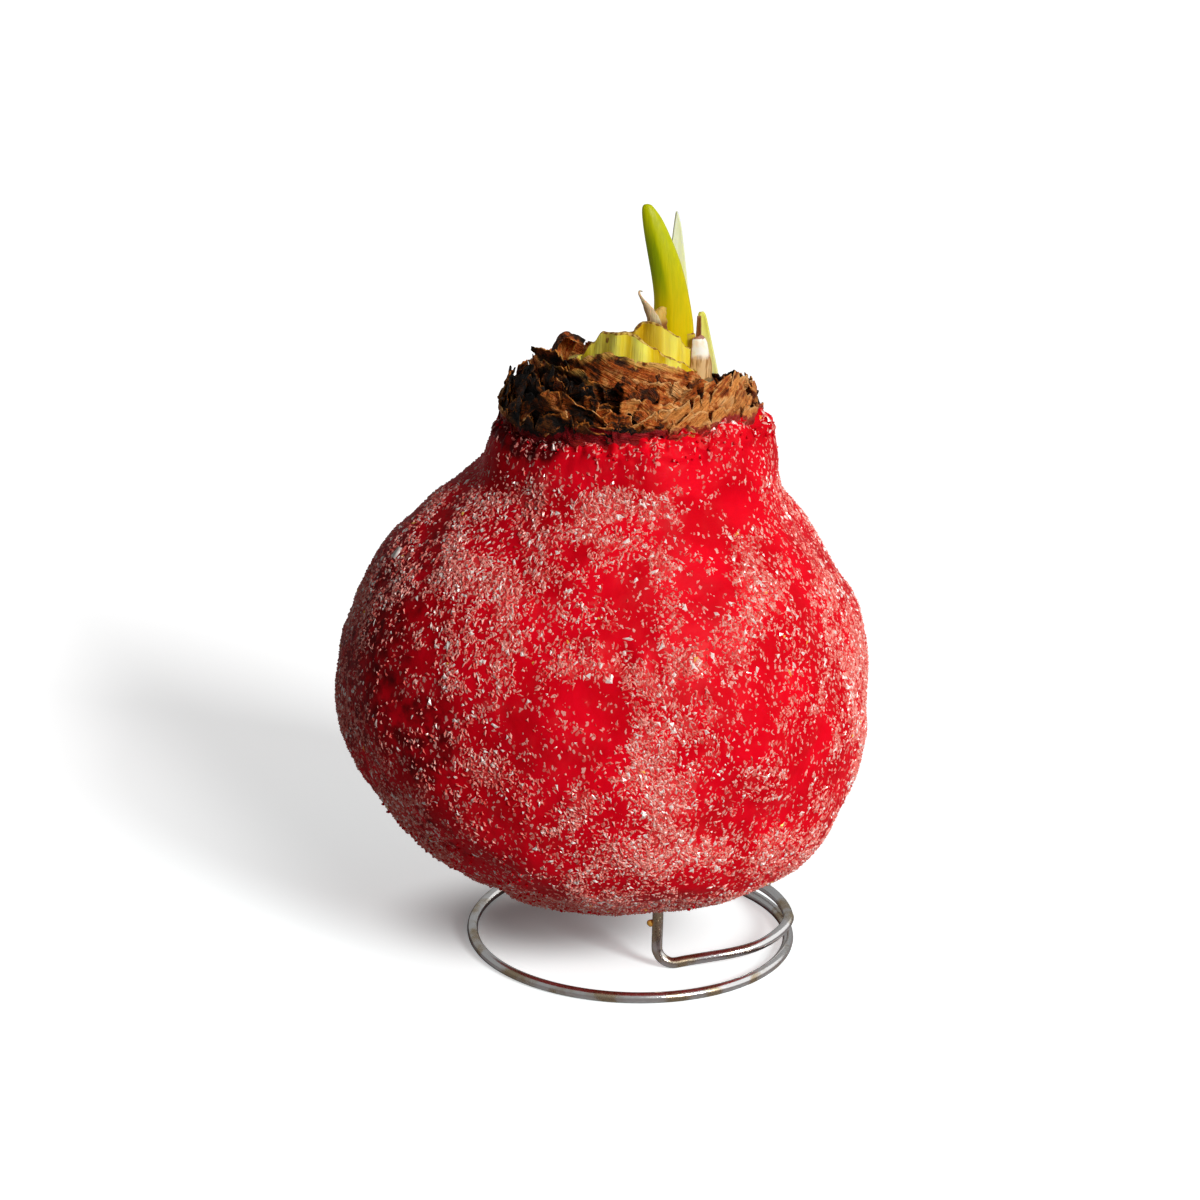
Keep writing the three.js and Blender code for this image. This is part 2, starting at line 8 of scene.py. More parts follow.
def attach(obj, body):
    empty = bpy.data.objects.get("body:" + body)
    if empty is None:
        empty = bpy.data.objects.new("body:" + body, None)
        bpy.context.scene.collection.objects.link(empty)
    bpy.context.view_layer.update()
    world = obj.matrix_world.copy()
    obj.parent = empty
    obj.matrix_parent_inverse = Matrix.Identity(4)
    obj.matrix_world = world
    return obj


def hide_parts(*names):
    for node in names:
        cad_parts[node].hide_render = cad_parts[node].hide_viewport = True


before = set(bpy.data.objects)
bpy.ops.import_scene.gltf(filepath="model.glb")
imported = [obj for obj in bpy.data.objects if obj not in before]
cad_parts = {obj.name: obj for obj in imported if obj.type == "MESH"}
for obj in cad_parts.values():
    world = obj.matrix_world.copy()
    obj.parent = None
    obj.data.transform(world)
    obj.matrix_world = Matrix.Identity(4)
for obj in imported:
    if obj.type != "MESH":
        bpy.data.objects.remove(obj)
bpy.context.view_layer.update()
mm = 0.001
print("frame loaded,", len(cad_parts), "solids")


# small helpers used by every piece

def deselectAll():
    if bpy.context.object and bpy.context.object.mode != "OBJECT":
        bpy.ops.object.mode_set(mode="OBJECT")
    bpy.ops.object.select_all(action="DESELECT")


def pick(obj):
    deselectAll()
    obj.select_set(True)
    bpy.context.view_layer.objects.active = obj


def applyModifier(obj, kind, **values):
    pick(obj)
    modifier = obj.modifiers.new(kind.lower(), kind)
    for key, value in values.items():
        setattr(modifier, key, value)
    bpy.ops.object.modifier_apply(modifier=modifier.name)


def tidyNormals(obj):
    pick(obj)
    bpy.ops.object.mode_set(mode="EDIT")
    bpy.ops.mesh.select_all(action="SELECT")
    bpy.ops.mesh.remove_doubles(threshold=1e-7)
    bpy.ops.mesh.normals_make_consistent(inside=False)
    bpy.ops.object.mode_set(mode="OBJECT")


def joinPieces(pieces):
    pick(pieces[0])
    for piece in pieces[1:]:
        piece.select_set(True)
    bpy.ops.object.join()
    return bpy.context.object


def finishPiece(obj, name, material, slot, *nodes):
    pick(obj)
    bpy.ops.object.shade_smooth()
    obj.name = obj.data.name = name
    obj.data.materials.clear()
    obj.data.materials.append(material)
    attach(obj, "root")
    if nodes:
        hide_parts(*nodes)
    print("made", name, "with", len(obj.data.polygons), "faces")


def smoothstep(value, low=0.0, high=1.0):
    t = min(1, max(0, (value - low) / (high - low)))
    return t * t * (3 - 2 * t)


def mix(a, b, t):
    return a + (b - a) * t


def smoothRows(rows, steps):
    # a smooth run through the rows, with so many steps between one and the next
    rows = [Vector(row) for row in rows]
    padded = [2 * rows[0] - rows[1]] + rows + [2 * rows[-1] - rows[-2]]
    out = []
    for k in range(len(rows) - 1):
        a, b, c, d = padded[k:k + 4]
        for t in (s / steps for s in range(steps)):
            out.append(0.5 * (2 * b + (c - a) * t + (2 * a - 5 * b + 4 * c - d) * t ** 2
                              + (3 * b - a - 3 * c + d) * t ** 3))
    return out + [rows[-1]]


def around(table, angle):
    # a height that changes smoothly round the neck, from pairs of degrees and height
    degrees = math.degrees(angle) % 360
    pairs = table + [(360 + table[0][0], table[0][1])]
    for (a, low), (b, high) in zip(pairs, pairs[1:]):
        if a <= degrees <= b:
            return mix(low, high, smoothstep(degrees, a, b))
    return table[0][1]


def stackRings(rings, columns):
    # a circle is extruded ring by ring; a ring is x, y, z, half width, half depth in mm
    deselectAll()
    x, y, z, width, depth = rings[0]
    bpy.ops.mesh.primitive_circle_add(vertices=columns, radius=1)
    obj = bpy.context.object
    bpy.ops.object.mode_set(mode="EDIT")
    bpy.ops.mesh.select_all(action="SELECT")
    bpy.ops.transform.resize(value=(width * mm, depth * mm, 1), center_override=(0, 0, 0))
    bpy.ops.transform.translate(value=(x * mm, y * mm, z * mm))
    for ring in rings[1:]:
        move = Vector(ring[:3]) - Vector((x, y, z))
        grow = (ring[3] / width, ring[4] / depth, 1)
        x, y, z, width, depth = ring
        bpy.ops.mesh.extrude_region_move(TRANSFORM_OT_translate={"value": tuple(move * mm)})
        bpy.ops.transform.resize(value=grow, center_override=(x * mm, y * mm, z * mm))
    bpy.ops.object.mode_set(mode="OBJECT")
    return obj


def closeRing(obj, first, count):
    # the ring that starts at this vertex is drawn together into a pole
    pick(obj)
    for v in obj.data.vertices:
        v.select = first <= v.index < first + count
    bpy.ops.object.mode_set(mode="EDIT")
    bpy.ops.mesh.select_mode(type="VERT")
    bpy.ops.mesh.merge(type="CENTER")
    bpy.ops.object.mode_set(mode="OBJECT")


def newGrid(columns, rows):
    deselectAll()
    bpy.ops.mesh.primitive_grid_add(x_subdivisions=columns, y_subdivisions=rows, size=1)
    return bpy.context.object


def alongRows(rows, t):
    place = t * (len(rows) - 1)
    k = min(int(place), len(rows) - 2)
    return rows[k].lerp(rows[k + 1], place - k)


def storeValues(obj, name, values):
    attribute = obj.data.attributes.get(name) or obj.data.attributes.new(name, "FLOAT", "POINT")
    attribute.data.foreach_set("value", np.array(values, dtype=np.float32))


def storePlaces(obj, name, places):
    attribute = obj.data.attributes.new(name, "FLOAT_VECTOR", "POINT")
    attribute.data.foreach_set("vector", np.array(places, dtype=np.float32).ravel())


def crumple(point, size):
    # creases of crushed paper, between -0.5 and 0.5: cells of about this size with sharp borders
    return noise.voronoi(point / size)[0][0] - 0.5


# node helpers

def addNode(tree, kind, inputs=None, **values):
    node = tree.nodes.new(kind)
    for key, value in values.items():
        setattr(node, key, value)
    for key, value in (inputs or {}).items():
        if isinstance(value, bpy.types.NodeSocket):
            tree.links.new(value, node.inputs[key])
        else:
            node.inputs[key].default_value = value
    return node


def maths(tree, operation, a, b=0.0, clamp=False):
    return addNode(tree, "ShaderNodeMath", {0: a, 1: b}, operation=operation, use_clamp=clamp).outputs[0]


def remap(tree, value, low, high, newLow=0.0, newHigh=1.0):
    return addNode(tree, "ShaderNodeMapRange", {
        "Value": value, "From Min": low, "From Max": high, "To Min": newLow, "To Max": newHigh,
    }, interpolation_type="SMOOTHSTEP").outputs["Result"]


def blendColour(tree, amount, a, b, mode="MIX"):
    node = addNode(tree, "ShaderNodeMix", {"Factor": amount}, data_type="RGBA", blend_type=mode)
    for socket, value in ((node.inputs[6], a), (node.inputs[7], b)):
        if isinstance(value, bpy.types.NodeSocket):
            tree.links.new(value, socket)
        else:
            socket.default_value = (*value, 1)
    return node.outputs[2]


def noiseValue(tree, vector, size, detail=2.0, stretch=(1, 1, 1), distortion=0.0):
    # a noise whose features are about this many mm across
    mapping = addNode(tree, "ShaderNodeMapping", {"Vector": vector, "Scale": stretch})
    return addNode(tree, "ShaderNodeTexNoise", {
        "Vector": mapping.outputs[0], "Scale": 1000 / size, "Detail": detail, "Distortion": distortion,
    }).outputs["Fac"]


def objectCoordinates(tree):
    return addNode(tree, "ShaderNodeTexCoord").outputs["Object"]


def splitCoordinates(tree, vector):
    return addNode(tree, "ShaderNodeSeparateXYZ", {"Vector": vector}).outputs


def newMaterial(name, **constants):
    material = bpy.data.materials.new(name)
    material.use_nodes = True
    shader = material.node_tree.nodes["Principled BSDF"]
    for key, value in constants.items():
        shader.inputs[key].default_value = value
    return material, material.node_tree, shader


def bumpInto(tree, shader, height, strength, distance):
    bump = addNode(tree, "ShaderNodeBump", {"Height": height, "Strength": strength, "Distance": distance * mm})
    tree.links.new(bump.outputs[0], shader.inputs["Normal"])


def newGroup(name, inputs, outputs):
    group = bpy.data.node_groups.new(name, "ShaderNodeTree")
    for label, kind, value in inputs:
        socket = group.interface.new_socket(label, in_out="INPUT", socket_type=kind)
        if value is not None:
            socket.default_value = value
    for label, kind in outputs:
        group.interface.new_socket(label, in_out="OUTPUT", socket_type=kind)
    source = group.nodes.new("NodeGroupInput").outputs
    result = group.nodes.new("NodeGroupOutput").inputs
    return group, source, result


def useGroup(tree, group, **inputs):
    node = addNode(tree, "ShaderNodeGroup", node_tree=group)
    for key, value in inputs.items():
        if isinstance(value, bpy.types.NodeSocket):
            tree.links.new(value, node.inputs[key])
        else:
            node.inputs[key].default_value = value
    return node.outputs


# node groups

def makeSpeckleGroup():
    # little dashes of glitter drowned in wax, thick in some patches and thin in others
    tree, source, result = newGroup("drownedGlitter", [
        ("Vector", "NodeSocketVector", None), ("Dash", "NodeSocketFloat", 0.55),
        ("Patch", "NodeSocketFloat", 7.0), ("Amount", "NodeSocketFloat", 0.5)],
        [("Mask", "NodeSocketFloat"), ("Tone", "NodeSocketFloat"), ("Thickness", "NodeSocketFloat")])
    wobble = addNode(tree, "ShaderNodeTexNoise", {"Vector": source["Vector"], "Scale": 1100, "Detail": 1})
    shift = addNode(tree, "ShaderNodeVectorMath", {0: wobble.outputs["Color"], 1: (0.5, 0.5, 0.5)},
                    operation="SUBTRACT")
    shift = addNode(tree, "ShaderNodeVectorMath", {0: shift.outputs[0], "Scale": 1.3 * mm}, operation="SCALE")
    bent = addNode(tree, "ShaderNodeVectorMath", {0: source["Vector"], 1: shift.outputs[0]}, operation="ADD")
    stretched = addNode(tree, "ShaderNodeMapping", {"Vector": bent.outputs[0], "Scale": (1, 1, 0.5)})
    cells = addNode(tree, "ShaderNodeTexVoronoi", {
        "Vector": stretched.outputs[0], "Scale": maths(tree, "DIVIDE", 1000.0, source["Dash"])})
    dash = remap(tree, cells.outputs["Distance"], 0.42, 0.3)
    random3 = addNode(tree, "ShaderNodeSeparateColor", {"Color": cells.outputs["Color"]})
    broad = addNode(tree, "ShaderNodeTexNoise", {
        "Vector": source["Vector"], "Scale": maths(tree, "DIVIDE", 1000.0, source["Patch"]), "Detail": 3,
        "Roughness": 0.6})
    thickness = remap(tree, broad.outputs["Fac"], 0.36, 0.66)
    share = maths(tree, "MULTIPLY", thickness, source["Amount"])
    kept = maths(tree, "LESS_THAN", random3.outputs["Red"], share)
    tree.links.new(maths(tree, "MULTIPLY", dash, kept), result["Mask"])
    tree.links.new(random3.outputs["Green"], result["Tone"])
    tree.links.new(thickness, result["Thickness"])
    return tree


def makeFibreGroup():
    # fine veins that run up a leaf or a skin
    tree, source, result = newGroup("uprightFibres", [
        ("Vector", "NodeSocketVector", None), ("Width", "NodeSocketFloat", 0.4),
        ("Waver", "NodeSocketFloat", 0.3)],
        [("Fibre", "NodeSocketFloat"), ("Mottle", "NodeSocketFloat")])
    flat = addNode(tree, "ShaderNodeMapping", {"Vector": source["Vector"], "Scale": (1, 1, 0.07)})
    veins = addNode(tree, "ShaderNodeTexNoise", {
        "Vector": flat.outputs[0], "Scale": maths(tree, "DIVIDE", 1000.0, source["Width"]), "Detail": 2,
        "Distortion": source["Waver"]})
    mottle = addNode(tree, "ShaderNodeTexNoise", {"Vector": source["Vector"], "Scale": 350, "Detail": 4})
    tree.links.new(remap(tree, veins.outputs["Fac"], 0.3, 0.7), result["Fibre"])
    tree.links.new(mottle.outputs["Fac"], result["Mottle"])
    return tree


drownedGlitter = makeSpeckleGroup()
uprightFibres = makeFibreGroup()
print("node groups ready")


# materials

waxLook = {
    "deep": (0.66, 0.001, 0.008), "clear": (0.86, 0.002, 0.014), "film": (0.88, 0.22, 0.19),
    # stain: darkens the wax near the rim at the left, and is the colour of the painted shade on the left
    "stain": (0.10, 0.003, 0.004),
    "roughness": 0.4, "glow": 0.06, "dash": 0.7, "patch": 6.5, "amount": 0.8, "frost": 0.13,
}


def makeWax():
    # saturated red wax with glitter drowned in it, a pale haze painted as a highlight where the attribute says so, and
    # painted shade in dark patches on the left
    material, tree, shader = newMaterial("redWax", **{
        "Roughness": waxLook["roughness"], "Specular IOR Level": 0.025, "Subsurface Weight": waxLook["glow"],
        "Subsurface Radius": (1.0, 0.04, 0.03), "Subsurface Scale": 2.0 * mm})
    place = objectCoordinates(tree)
    speckle = useGroup(tree, drownedGlitter, Vector=place, Dash=waxLook["dash"], Patch=waxLook["patch"],
                       Amount=waxLook["amount"])
    cloud = noiseValue(tree, place, 9, 3)
    red = blendColour(tree, remap(tree, cloud, 0.35, 0.65), waxLook["deep"], waxLook["clear"])
    glitterAndHighlight = addNode(tree, "ShaderNodeAttribute", attribute_name="glitterAndHighlight").outputs["Fac"]
    milky = remap(tree, noiseValue(tree, place, 3.2, 3), 0.42, 0.68)
    haze = maths(tree, "MULTIPLY", speckle["Thickness"], maths(tree, "MULTIPLY", milky, 0.03))
    # painted highlight: pale haze in the patches where the attribute is high
    paintedHighlight = remap(tree, maths(tree, "ADD", glitterAndHighlight, remap(tree, milky, 0, 1, -0.25, 0.25)), 0.36, 0.52, 0, 0.1)
    frosted = addNode(tree, "ShaderNodeAttribute", attribute_name="frosted").outputs["Fac"]
    blobs = maths(tree, "MULTIPLY", maths(tree, "SUBTRACT", noiseValue(tree, place, 1.0, 2), 0.5), 2)
    blobs = remap(tree, maths(tree, "ADD", frosted, blobs), 0.6, 1.0, 0, waxLook["frost"])
    haze = maths(tree, "ADD", maths(tree, "ADD", haze, paintedHighlight), blobs, clamp=True)
    red = blendColour(tree, haze, red, waxLook["film"])
    # darker wax near the rim at the left, and painted shade in patches mostly on the left
    stain = addNode(tree, "ShaderNodeAttribute", attribute_name="stain").outputs["Fac"]
    darkWaxAndShade = maths(tree, "ADD", stain, maths(tree, "SUBTRACT", noiseValue(tree, place, 2.4, 4), 0.5))
    red = blendColour(tree, remap(tree, darkWaxAndShade, 0.24, 0.7, 0, 0.9), red, waxLook["stain"])
    flake = blendColour(tree, speckle["Tone"], (0.74, 0.13, 0.11), (0.94, 0.52, 0.45))
    shown = maths(tree, "MULTIPLY", speckle["Mask"], 0.85)
    tree.links.new(blendColour(tree, shown, red, flake), shader.inputs["Base Color"])
    lumps = maths(tree, "MULTIPLY", noiseValue(tree, place, 2.2, 3), 0.6)
    height = maths(tree, "ADD", lumps, maths(tree, "MULTIPLY", speckle["Mask"], 0.35))
    bumpInto(tree, shader, height, 0.55, 0.4)
    return material


flakeLook = {
    "drowned": (0.76, 0.11, 0.09), "bare": (0.98, 0.46, 0.39), "white": (1.0, 0.90, 0.84), "gold": (0.98, 0.55, 0.10),
}


def makeFlake():
    material, tree, shader = newMaterial("glitterFlake", **{"Roughness": 0.3, "Specular IOR Level": 0.12})
    tone = addNode(tree, "ShaderNodeAttribute", attribute_name="tone").outputs["Fac"]
    colour = blendColour(tree, remap(tree, tone, 0.05, 0.8), flakeLook["drowned"], flakeLook["bare"])
    colour = blendColour(tree, remap(tree, tone, 0.8, 0.88), colour, flakeLook["white"])
    colour = blendColour(tree, maths(tree, "GREATER_THAN", tone, 0.985), colour, flakeLook["gold"])
    stain = noiseValue(tree, objectCoordinates(tree), 0.6)
    colour = blendColour(tree, remap(tree, stain, 0.5, 0.75, 0, 0.4), colour, flakeLook["drowned"])
    tree.links.new(colour, shader.inputs["Base Color"])
    tree.links.new(maths(tree, "MULTIPLY", maths(tree, "GREATER_THAN", tone, 0.8), 0.15), shader.inputs["Metallic"])
    return material


skinLook = {
    "black": (0.008, 0.005, 0.003), "umber": (0.090, 0.024, 0.004), "rust": (0.52, 0.10, 0.010),
    "tan": (0.86, 0.33, 0.075), "warmEdge": (0.80, 0.24, 0.03), "paleEdge": (0.95, 0.52, 0.20),
    "cream": (0.88, 0.46, 0.09), "wax": (0.34, 0.003, 0.010), "vein": (0.42, 0.22, 0.11), "creaseShade": (0.10, 0.05, 0.03),
}


def makeDrySkin():
    # each sheet has its own tone from black through umber and rust to tan; hollows get painted shade, raised crumples a
    # painted highlight, torn edges are pale
    material, tree, shader = newMaterial("drySkin", **{"Specular IOR Level": 0.2})
    place = objectCoordinates(tree)
    grain = addNode(tree, "ShaderNodeAttribute", attribute_name="grain").outputs["Vector"]
    fibres = useGroup(tree, uprightFibres, Vector=grain, Width=0.3, Waver=1.2)
    coarse = useGroup(tree, uprightFibres, Vector=grain, Width=1.1, Waver=1.6)
    blotch = noiseValue(tree, place, 3.0, 4)
    fine = noiseValue(tree, place, 0.7, 4)
    shade = addNode(tree, "ShaderNodeAttribute", attribute_name="shade").outputs["Fac"]
    shade = maths(tree, "ADD", shade, remap(tree, blotch, 0.3, 0.7, -0.28, 0.28))
    shade = maths(tree, "ADD", shade, remap(tree, coarse["Fibre"], 0, 1, -0.12, 0.12))
    shade = maths(tree, "ADD", shade, remap(tree, fine, 0.3, 0.7, -0.12, 0.12))
    colour = blendColour(tree, remap(tree, shade, 0.08, 0.36), skinLook["black"], skinLook["umber"])
    colour = blendColour(tree, remap(tree, shade, 0.34, 0.6), colour, skinLook["rust"])
    colour = blendColour(tree, remap(tree, shade, 0.62, 0.92), colour, skinLook["tan"])
    vein = maths(tree, "MULTIPLY", remap(tree, fibres["Fibre"], 0.55, 0.25), 0.5)
    colour = blendColour(tree, vein, colour, skinLook["vein"], "MULTIPLY")
    pale = addNode(tree, "ShaderNodeAttribute", attribute_name="pale").outputs["Fac"]
    creamy = maths(tree, "MULTIPLY", pale, remap(tree, blotch, 0.36, 0.5))
    colour = blendColour(tree, creamy, colour, skinLook["cream"])
    # painted shade in the hollows of the crumples and a painted highlight on their raised parts
    hollow = addNode(tree, "ShaderNodeAttribute", attribute_name="hollow").outputs["Fac"]
    deep = remap(tree, maths(tree, "ADD", hollow, remap(tree, blotch, 0.35, 0.65, -0.15, 0.2)), -0.1, -0.5, 0, 0.85)
    colour = blendColour(tree, deep, colour, skinLook["creaseShade"], "MULTIPLY")
    ridge = maths(tree, "MULTIPLY", remap(tree, hollow, 0.16, 0.5), remap(tree, shade, 0.1, 0.6, 0.1, 0.55))
    edgeAndHighlightColour = blendColour(tree, remap(tree, shade, 0.4, 0.9), skinLook["warmEdge"], skinLook["paleEdge"])
    colour = blendColour(tree, ridge, colour, edgeAndHighlightColour)
    edge = addNode(tree, "ShaderNodeAttribute", attribute_name="edge").outputs["Fac"]
    worn = maths(tree, "MULTIPLY", edge, remap(tree, blotch, 0.42, 0.6))
    worn = maths(tree, "MULTIPLY", worn, remap(tree, shade, 0.0, 0.45, 0.25, 0.95))
    colour = blendColour(tree, worn, colour, edgeAndHighlightColour)
    waxed = addNode(tree, "ShaderNodeAttribute", attribute_name="waxed").outputs["Fac"]
    film = remap(tree, maths(tree, "ADD", waxed, maths(tree, "SUBTRACT", fine, 0.5)), 0.42, 0.62)
    colour = blendColour(tree, maths(tree, "MULTIPLY", film, 0.88), colour, skinLook["wax"])
    tree.links.new(colour, shader.inputs["Base Color"])
    glossy = remap(tree, blotch, 0.4, 0.65, 0.62, 0.4)
    tree.links.new(maths(tree, "SUBTRACT", glossy, maths(tree, "MULTIPLY", film, 0.15)), shader.inputs["Roughness"])
    height = maths(tree, "ADD", fibres["Fibre"], maths(tree, "MULTIPLY", fine, 1.8))
    height = maths(tree, "ADD", height, coarse["Fibre"])
    bumpInto(tree, shader, height, 0.8, 0.35)
    return material


scaleLook = {
    "flesh": (0.74, 0.53, 0.003), "pale": (0.88, 0.80, 0.13), "shade": (0.60, 0.39, 0.002), "darkerAndFoldShade": (0.66, 0.54, 0.30),
    "cut": (0.20, 0.060, 0.010), "dry": (0.62, 0.40, 0.10), "bandWidth": 2.6,
}


def makeScale():
    # fleshy scale: broad upright bands of yellow green and pale flesh, brown along its cut, with a faint painted glow
    # from its own colour
    material, tree, shader = newMaterial("fleshyScale", **{
        "Roughness": 0.42, "Specular IOR Level": 0.1, "Subsurface Weight": 0.3,
        "Subsurface Radius": (1.0, 0.8, 0.05), "Subsurface Scale": 1.6 * mm, "Emission Strength": 0.11})
    place = objectCoordinates(tree)
    fibres = useGroup(tree, uprightFibres, Vector=place, Width=0.35, Waver=0.2)
    band = noiseValue(tree, place, scaleLook["bandWidth"], 1, (1, 1, 0.12))
    colour = blendColour(tree, remap(tree, band, 0.38, 0.66), scaleLook["flesh"], scaleLook["pale"])
    colour = blendColour(tree, remap(tree, band, 0.46, 0.3, 0, 0.6), colour, scaleLook["shade"])
    colour = blendColour(tree, maths(tree, "MULTIPLY", fibres["Fibre"], 0.18), colour, scaleLook["pale"])
    # painted shade in the troughs of the pleats, and the middle scale darker towards its left
    darkerAndFoldShade = addNode(tree, "ShaderNodeAttribute", attribute_name="darkerAndFoldShade").outputs["Fac"]
    colour = blendColour(tree, darkerAndFoldShade, colour, scaleLook["darkerAndFoldShade"], "MULTIPLY")
    cut = addNode(tree, "ShaderNodeAttribute", attribute_name="cut").outputs["Fac"]
    ragged = maths(tree, "ADD", cut, maths(tree, "MULTIPLY", maths(tree, "SUBTRACT", noiseValue(tree, place, 0.9, 3), 0.5), 0.8))
    mottled = blendColour(tree, remap(tree, noiseValue(tree, place, 0.8, 2), 0.42, 0.56), scaleLook["cut"], scaleLook["dry"])
    colour = blendColour(tree, remap(tree, ragged, 0.55, 0.85, 0, 0.9), colour, mottled)
    tree.links.new(colour, shader.inputs["Base Color"])
    tree.links.new(colour, shader.inputs["Emission Color"])
    bumpInto(tree, shader, fibres["Fibre"], 0.35, 0.15)
    return material


def makeWhiteScale():
    # a faint painted glow: the colour is fed into the emission too
    material, tree, shader = newMaterial("whiteScale", **{
        "Roughness": 0.35, "Subsurface Weight": 0.3, "Subsurface Radius": (1, 0.7, 0.5), "Subsurface Scale": 1 * mm,
        "Emission Strength": 0.08})
    place = objectCoordinates(tree)
    soft = noiseValue(tree, place, 1.4, 3)
    colour = blendColour(tree, remap(tree, soft, 0.4, 0.7), (1.0, 0.95, 0.82), (0.94, 0.80, 0.56))
    z = splitCoordinates(tree, place)["Z"]
    low = remap(tree, maths(tree, "ADD", z, maths(tree, "MULTIPLY", soft, 2 * mm)), 116 * mm, 114.8 * mm)
    streak = remap(tree, noiseValue(tree, place, 0.5, 2, (1, 1, 0.15)), 0.4, 0.6)
    colour = blendColour(tree, low, colour, blendColour(tree, streak, (0.40, 0.19, 0.05), (0.74, 0.50, 0.24)))
    high = remap(tree, maths(tree, "ADD", z, maths(tree, "MULTIPLY", soft, 1.4 * mm)), 118.3 * mm, 118.5 * mm, 0, 0.9)
    colour = blendColour(tree, high, colour, (0.30, 0.07, 0.015))
    cut = addNode(tree, "ShaderNodeAttribute", attribute_name="edge").outputs["Fac"]
    ragged = maths(tree, "ADD", cut, maths(tree, "SUBTRACT", soft, 0.5))
    colour = blendColour(tree, remap(tree, ragged, 0.6, 0.9, 0, 0.8), colour, (0.40, 0.11, 0.04))
    tree.links.new(colour, shader.inputs["Base Color"])
    tree.links.new(colour, shader.inputs["Emission Color"])
    bumpInto(tree, shader, soft, 0.3, 0.2)
    return material


def makeMembrane():
    material, tree, shader = newMaterial("paperyMembrane", **{"Roughness": 0.6, "Subsurface Weight": 0.25,
                                                              "Subsurface Scale": 0.8 * mm})
    place = objectCoordinates(tree)
    fibres = useGroup(tree, uprightFibres, Vector=place, Width=0.35, Waver=0.4)
    z = splitCoordinates(tree, place)["Z"]
    low = remap(tree, z, 121.8 * mm, 120.2 * mm)
    shade = addNode(tree, "ShaderNodeAttribute", attribute_name="shade").outputs["Fac"]
    light = blendColour(tree, shade, (0.88, 0.66, 0.40), (0.70, 0.45, 0.08))
    dark = blendColour(tree, shade, (0.78, 0.54, 0.29), (0.56, 0.32, 0.04))
    colour = blendColour(tree, fibres["Fibre"], dark, light)
    colour = blendColour(tree, low, colour, (0.20, 0.055, 0.006))
    edge = addNode(tree, "ShaderNodeAttribute", attribute_name="edge").outputs["Fac"]
    colour = blendColour(tree, remap(tree, edge, 0.6, 1, 0, 0.7), colour, (0.30, 0.17, 0.06))
    tree.links.new(colour, shader.inputs["Base Color"])
    bumpInto(tree, shader, fibres["Fibre"], 0.5, 0.2)
    return material


def makeLeaf(name, low, high, shade, bottom, top, gloss=0.38, glow=0.12):
    # a shoot or leaf that changes colour from its foot to its tip, with painted shade on the face to its left where the
    # shaded attribute says so, and a faint painted glow from its own colour
    material, tree, shader = newMaterial(name, **{
        "Roughness": gloss, "Specular IOR Level": 0.12, "Subsurface Weight": 0.4,
        "Subsurface Radius": (0.9, 1.0, 0.02), "Subsurface Scale": 2.5 * mm, "Emission Strength": glow})
    place = objectCoordinates(tree)
    fibres = useGroup(tree, uprightFibres, Vector=place, Width=0.45, Waver=0.1)
    z = splitCoordinates(tree, place)["Z"]
    climb = maths(tree, "ADD", z, maths(tree, "MULTIPLY", maths(tree, "SUBTRACT", fibres["Mottle"], 0.5), 4 * mm))
    colour = blendColour(tree, remap(tree, climb, bottom * mm, top * mm), low, high)
    shaded = addNode(tree, "ShaderNodeAttribute", attribute_name="shaded").outputs["Fac"]
    colour = blendColour(tree, shaded, colour, shade)
    veined = blendColour(tree, 0.22, colour, shade)
    colour = blendColour(tree, fibres["Fibre"], veined, colour)
    tree.links.new(colour, shader.inputs["Base Color"])
    tree.links.new(colour, shader.inputs["Emission Color"])
    bumpInto(tree, shader, fibres["Fibre"], 0.25, 0.12)
    return material


def makeFleshMaterial():
    # cream inside the wax, brown outside the neck, yellow green on the crown with brown old cuts
    material, tree, shader = newMaterial("bulbFlesh", **{"Roughness": 0.6, "Specular IOR Level": 0.2, "Subsurface Weight": 0.15,
                                                         "Subsurface Scale": 1 * mm})
    place = objectCoordinates(tree)
    x, y, z = splitCoordinates(tree, place)
    out = maths(tree, "SQRT", maths(tree, "ADD", maths(tree, "POWER", maths(tree, "SUBTRACT", x, 3.8 * mm), 2),
                                    maths(tree, "POWER", y, 2)))
    soft = noiseValue(tree, place, 1.6, 3)
    crown = blendColour(tree, remap(tree, soft, 0.35, 0.65), (0.52, 0.40, 0.08), (0.76, 0.64, 0.24))
    cut = addNode(tree, "ShaderNodeAttribute", attribute_name="cut").outputs["Fac"]
    crown = blendColour(tree, remap(tree, maths(tree, "MULTIPLY", cut, soft), 0.25, 0.6, 0, 0.9), crown, (0.30, 0.14, 0.05))
    skin = blendColour(tree, remap(tree, soft, 0.35, 0.65), (0.03, 0.016, 0.008), (0.12, 0.05, 0.02))
    colour = blendColour(tree, remap(tree, out, 13.2 * mm, 14.2 * mm), crown, skin)
    colour = blendColour(tree, remap(tree, z, 99 * mm, 97 * mm), colour, (0.75, 0.66, 0.42))
    tree.links.new(colour, shader.inputs["Base Color"])
    bumpInto(tree, shader, soft, 0.4, 0.3)
    return material


def makeSteel():
    # drawn steel wire, a little brassy with handling
    material, tree, shader = newMaterial("steelWire", **{"Metallic": 1.0, "Anisotropic": 0.2})
    place = objectCoordinates(tree)
    stain = noiseValue(tree, place, 6, 4)
    scratch = noiseValue(tree, place, 0.25, 2)
    colour = blendColour(tree, remap(tree, stain, 0.46, 0.62, 0, 0.85), (0.88, 0.87, 0.86), (0.50, 0.37, 0.20))
    tree.links.new(colour, shader.inputs["Base Color"])
    rough = maths(tree, "ADD", remap(tree, scratch, 0.3, 0.7, 0.12, 0.24), remap(tree, stain, 0.45, 0.7, 0, 0.15))
    tree.links.new(rough, shader.inputs["Roughness"])
    bumpInto(tree, shader, scratch, 0.15, 0.05)
    return material


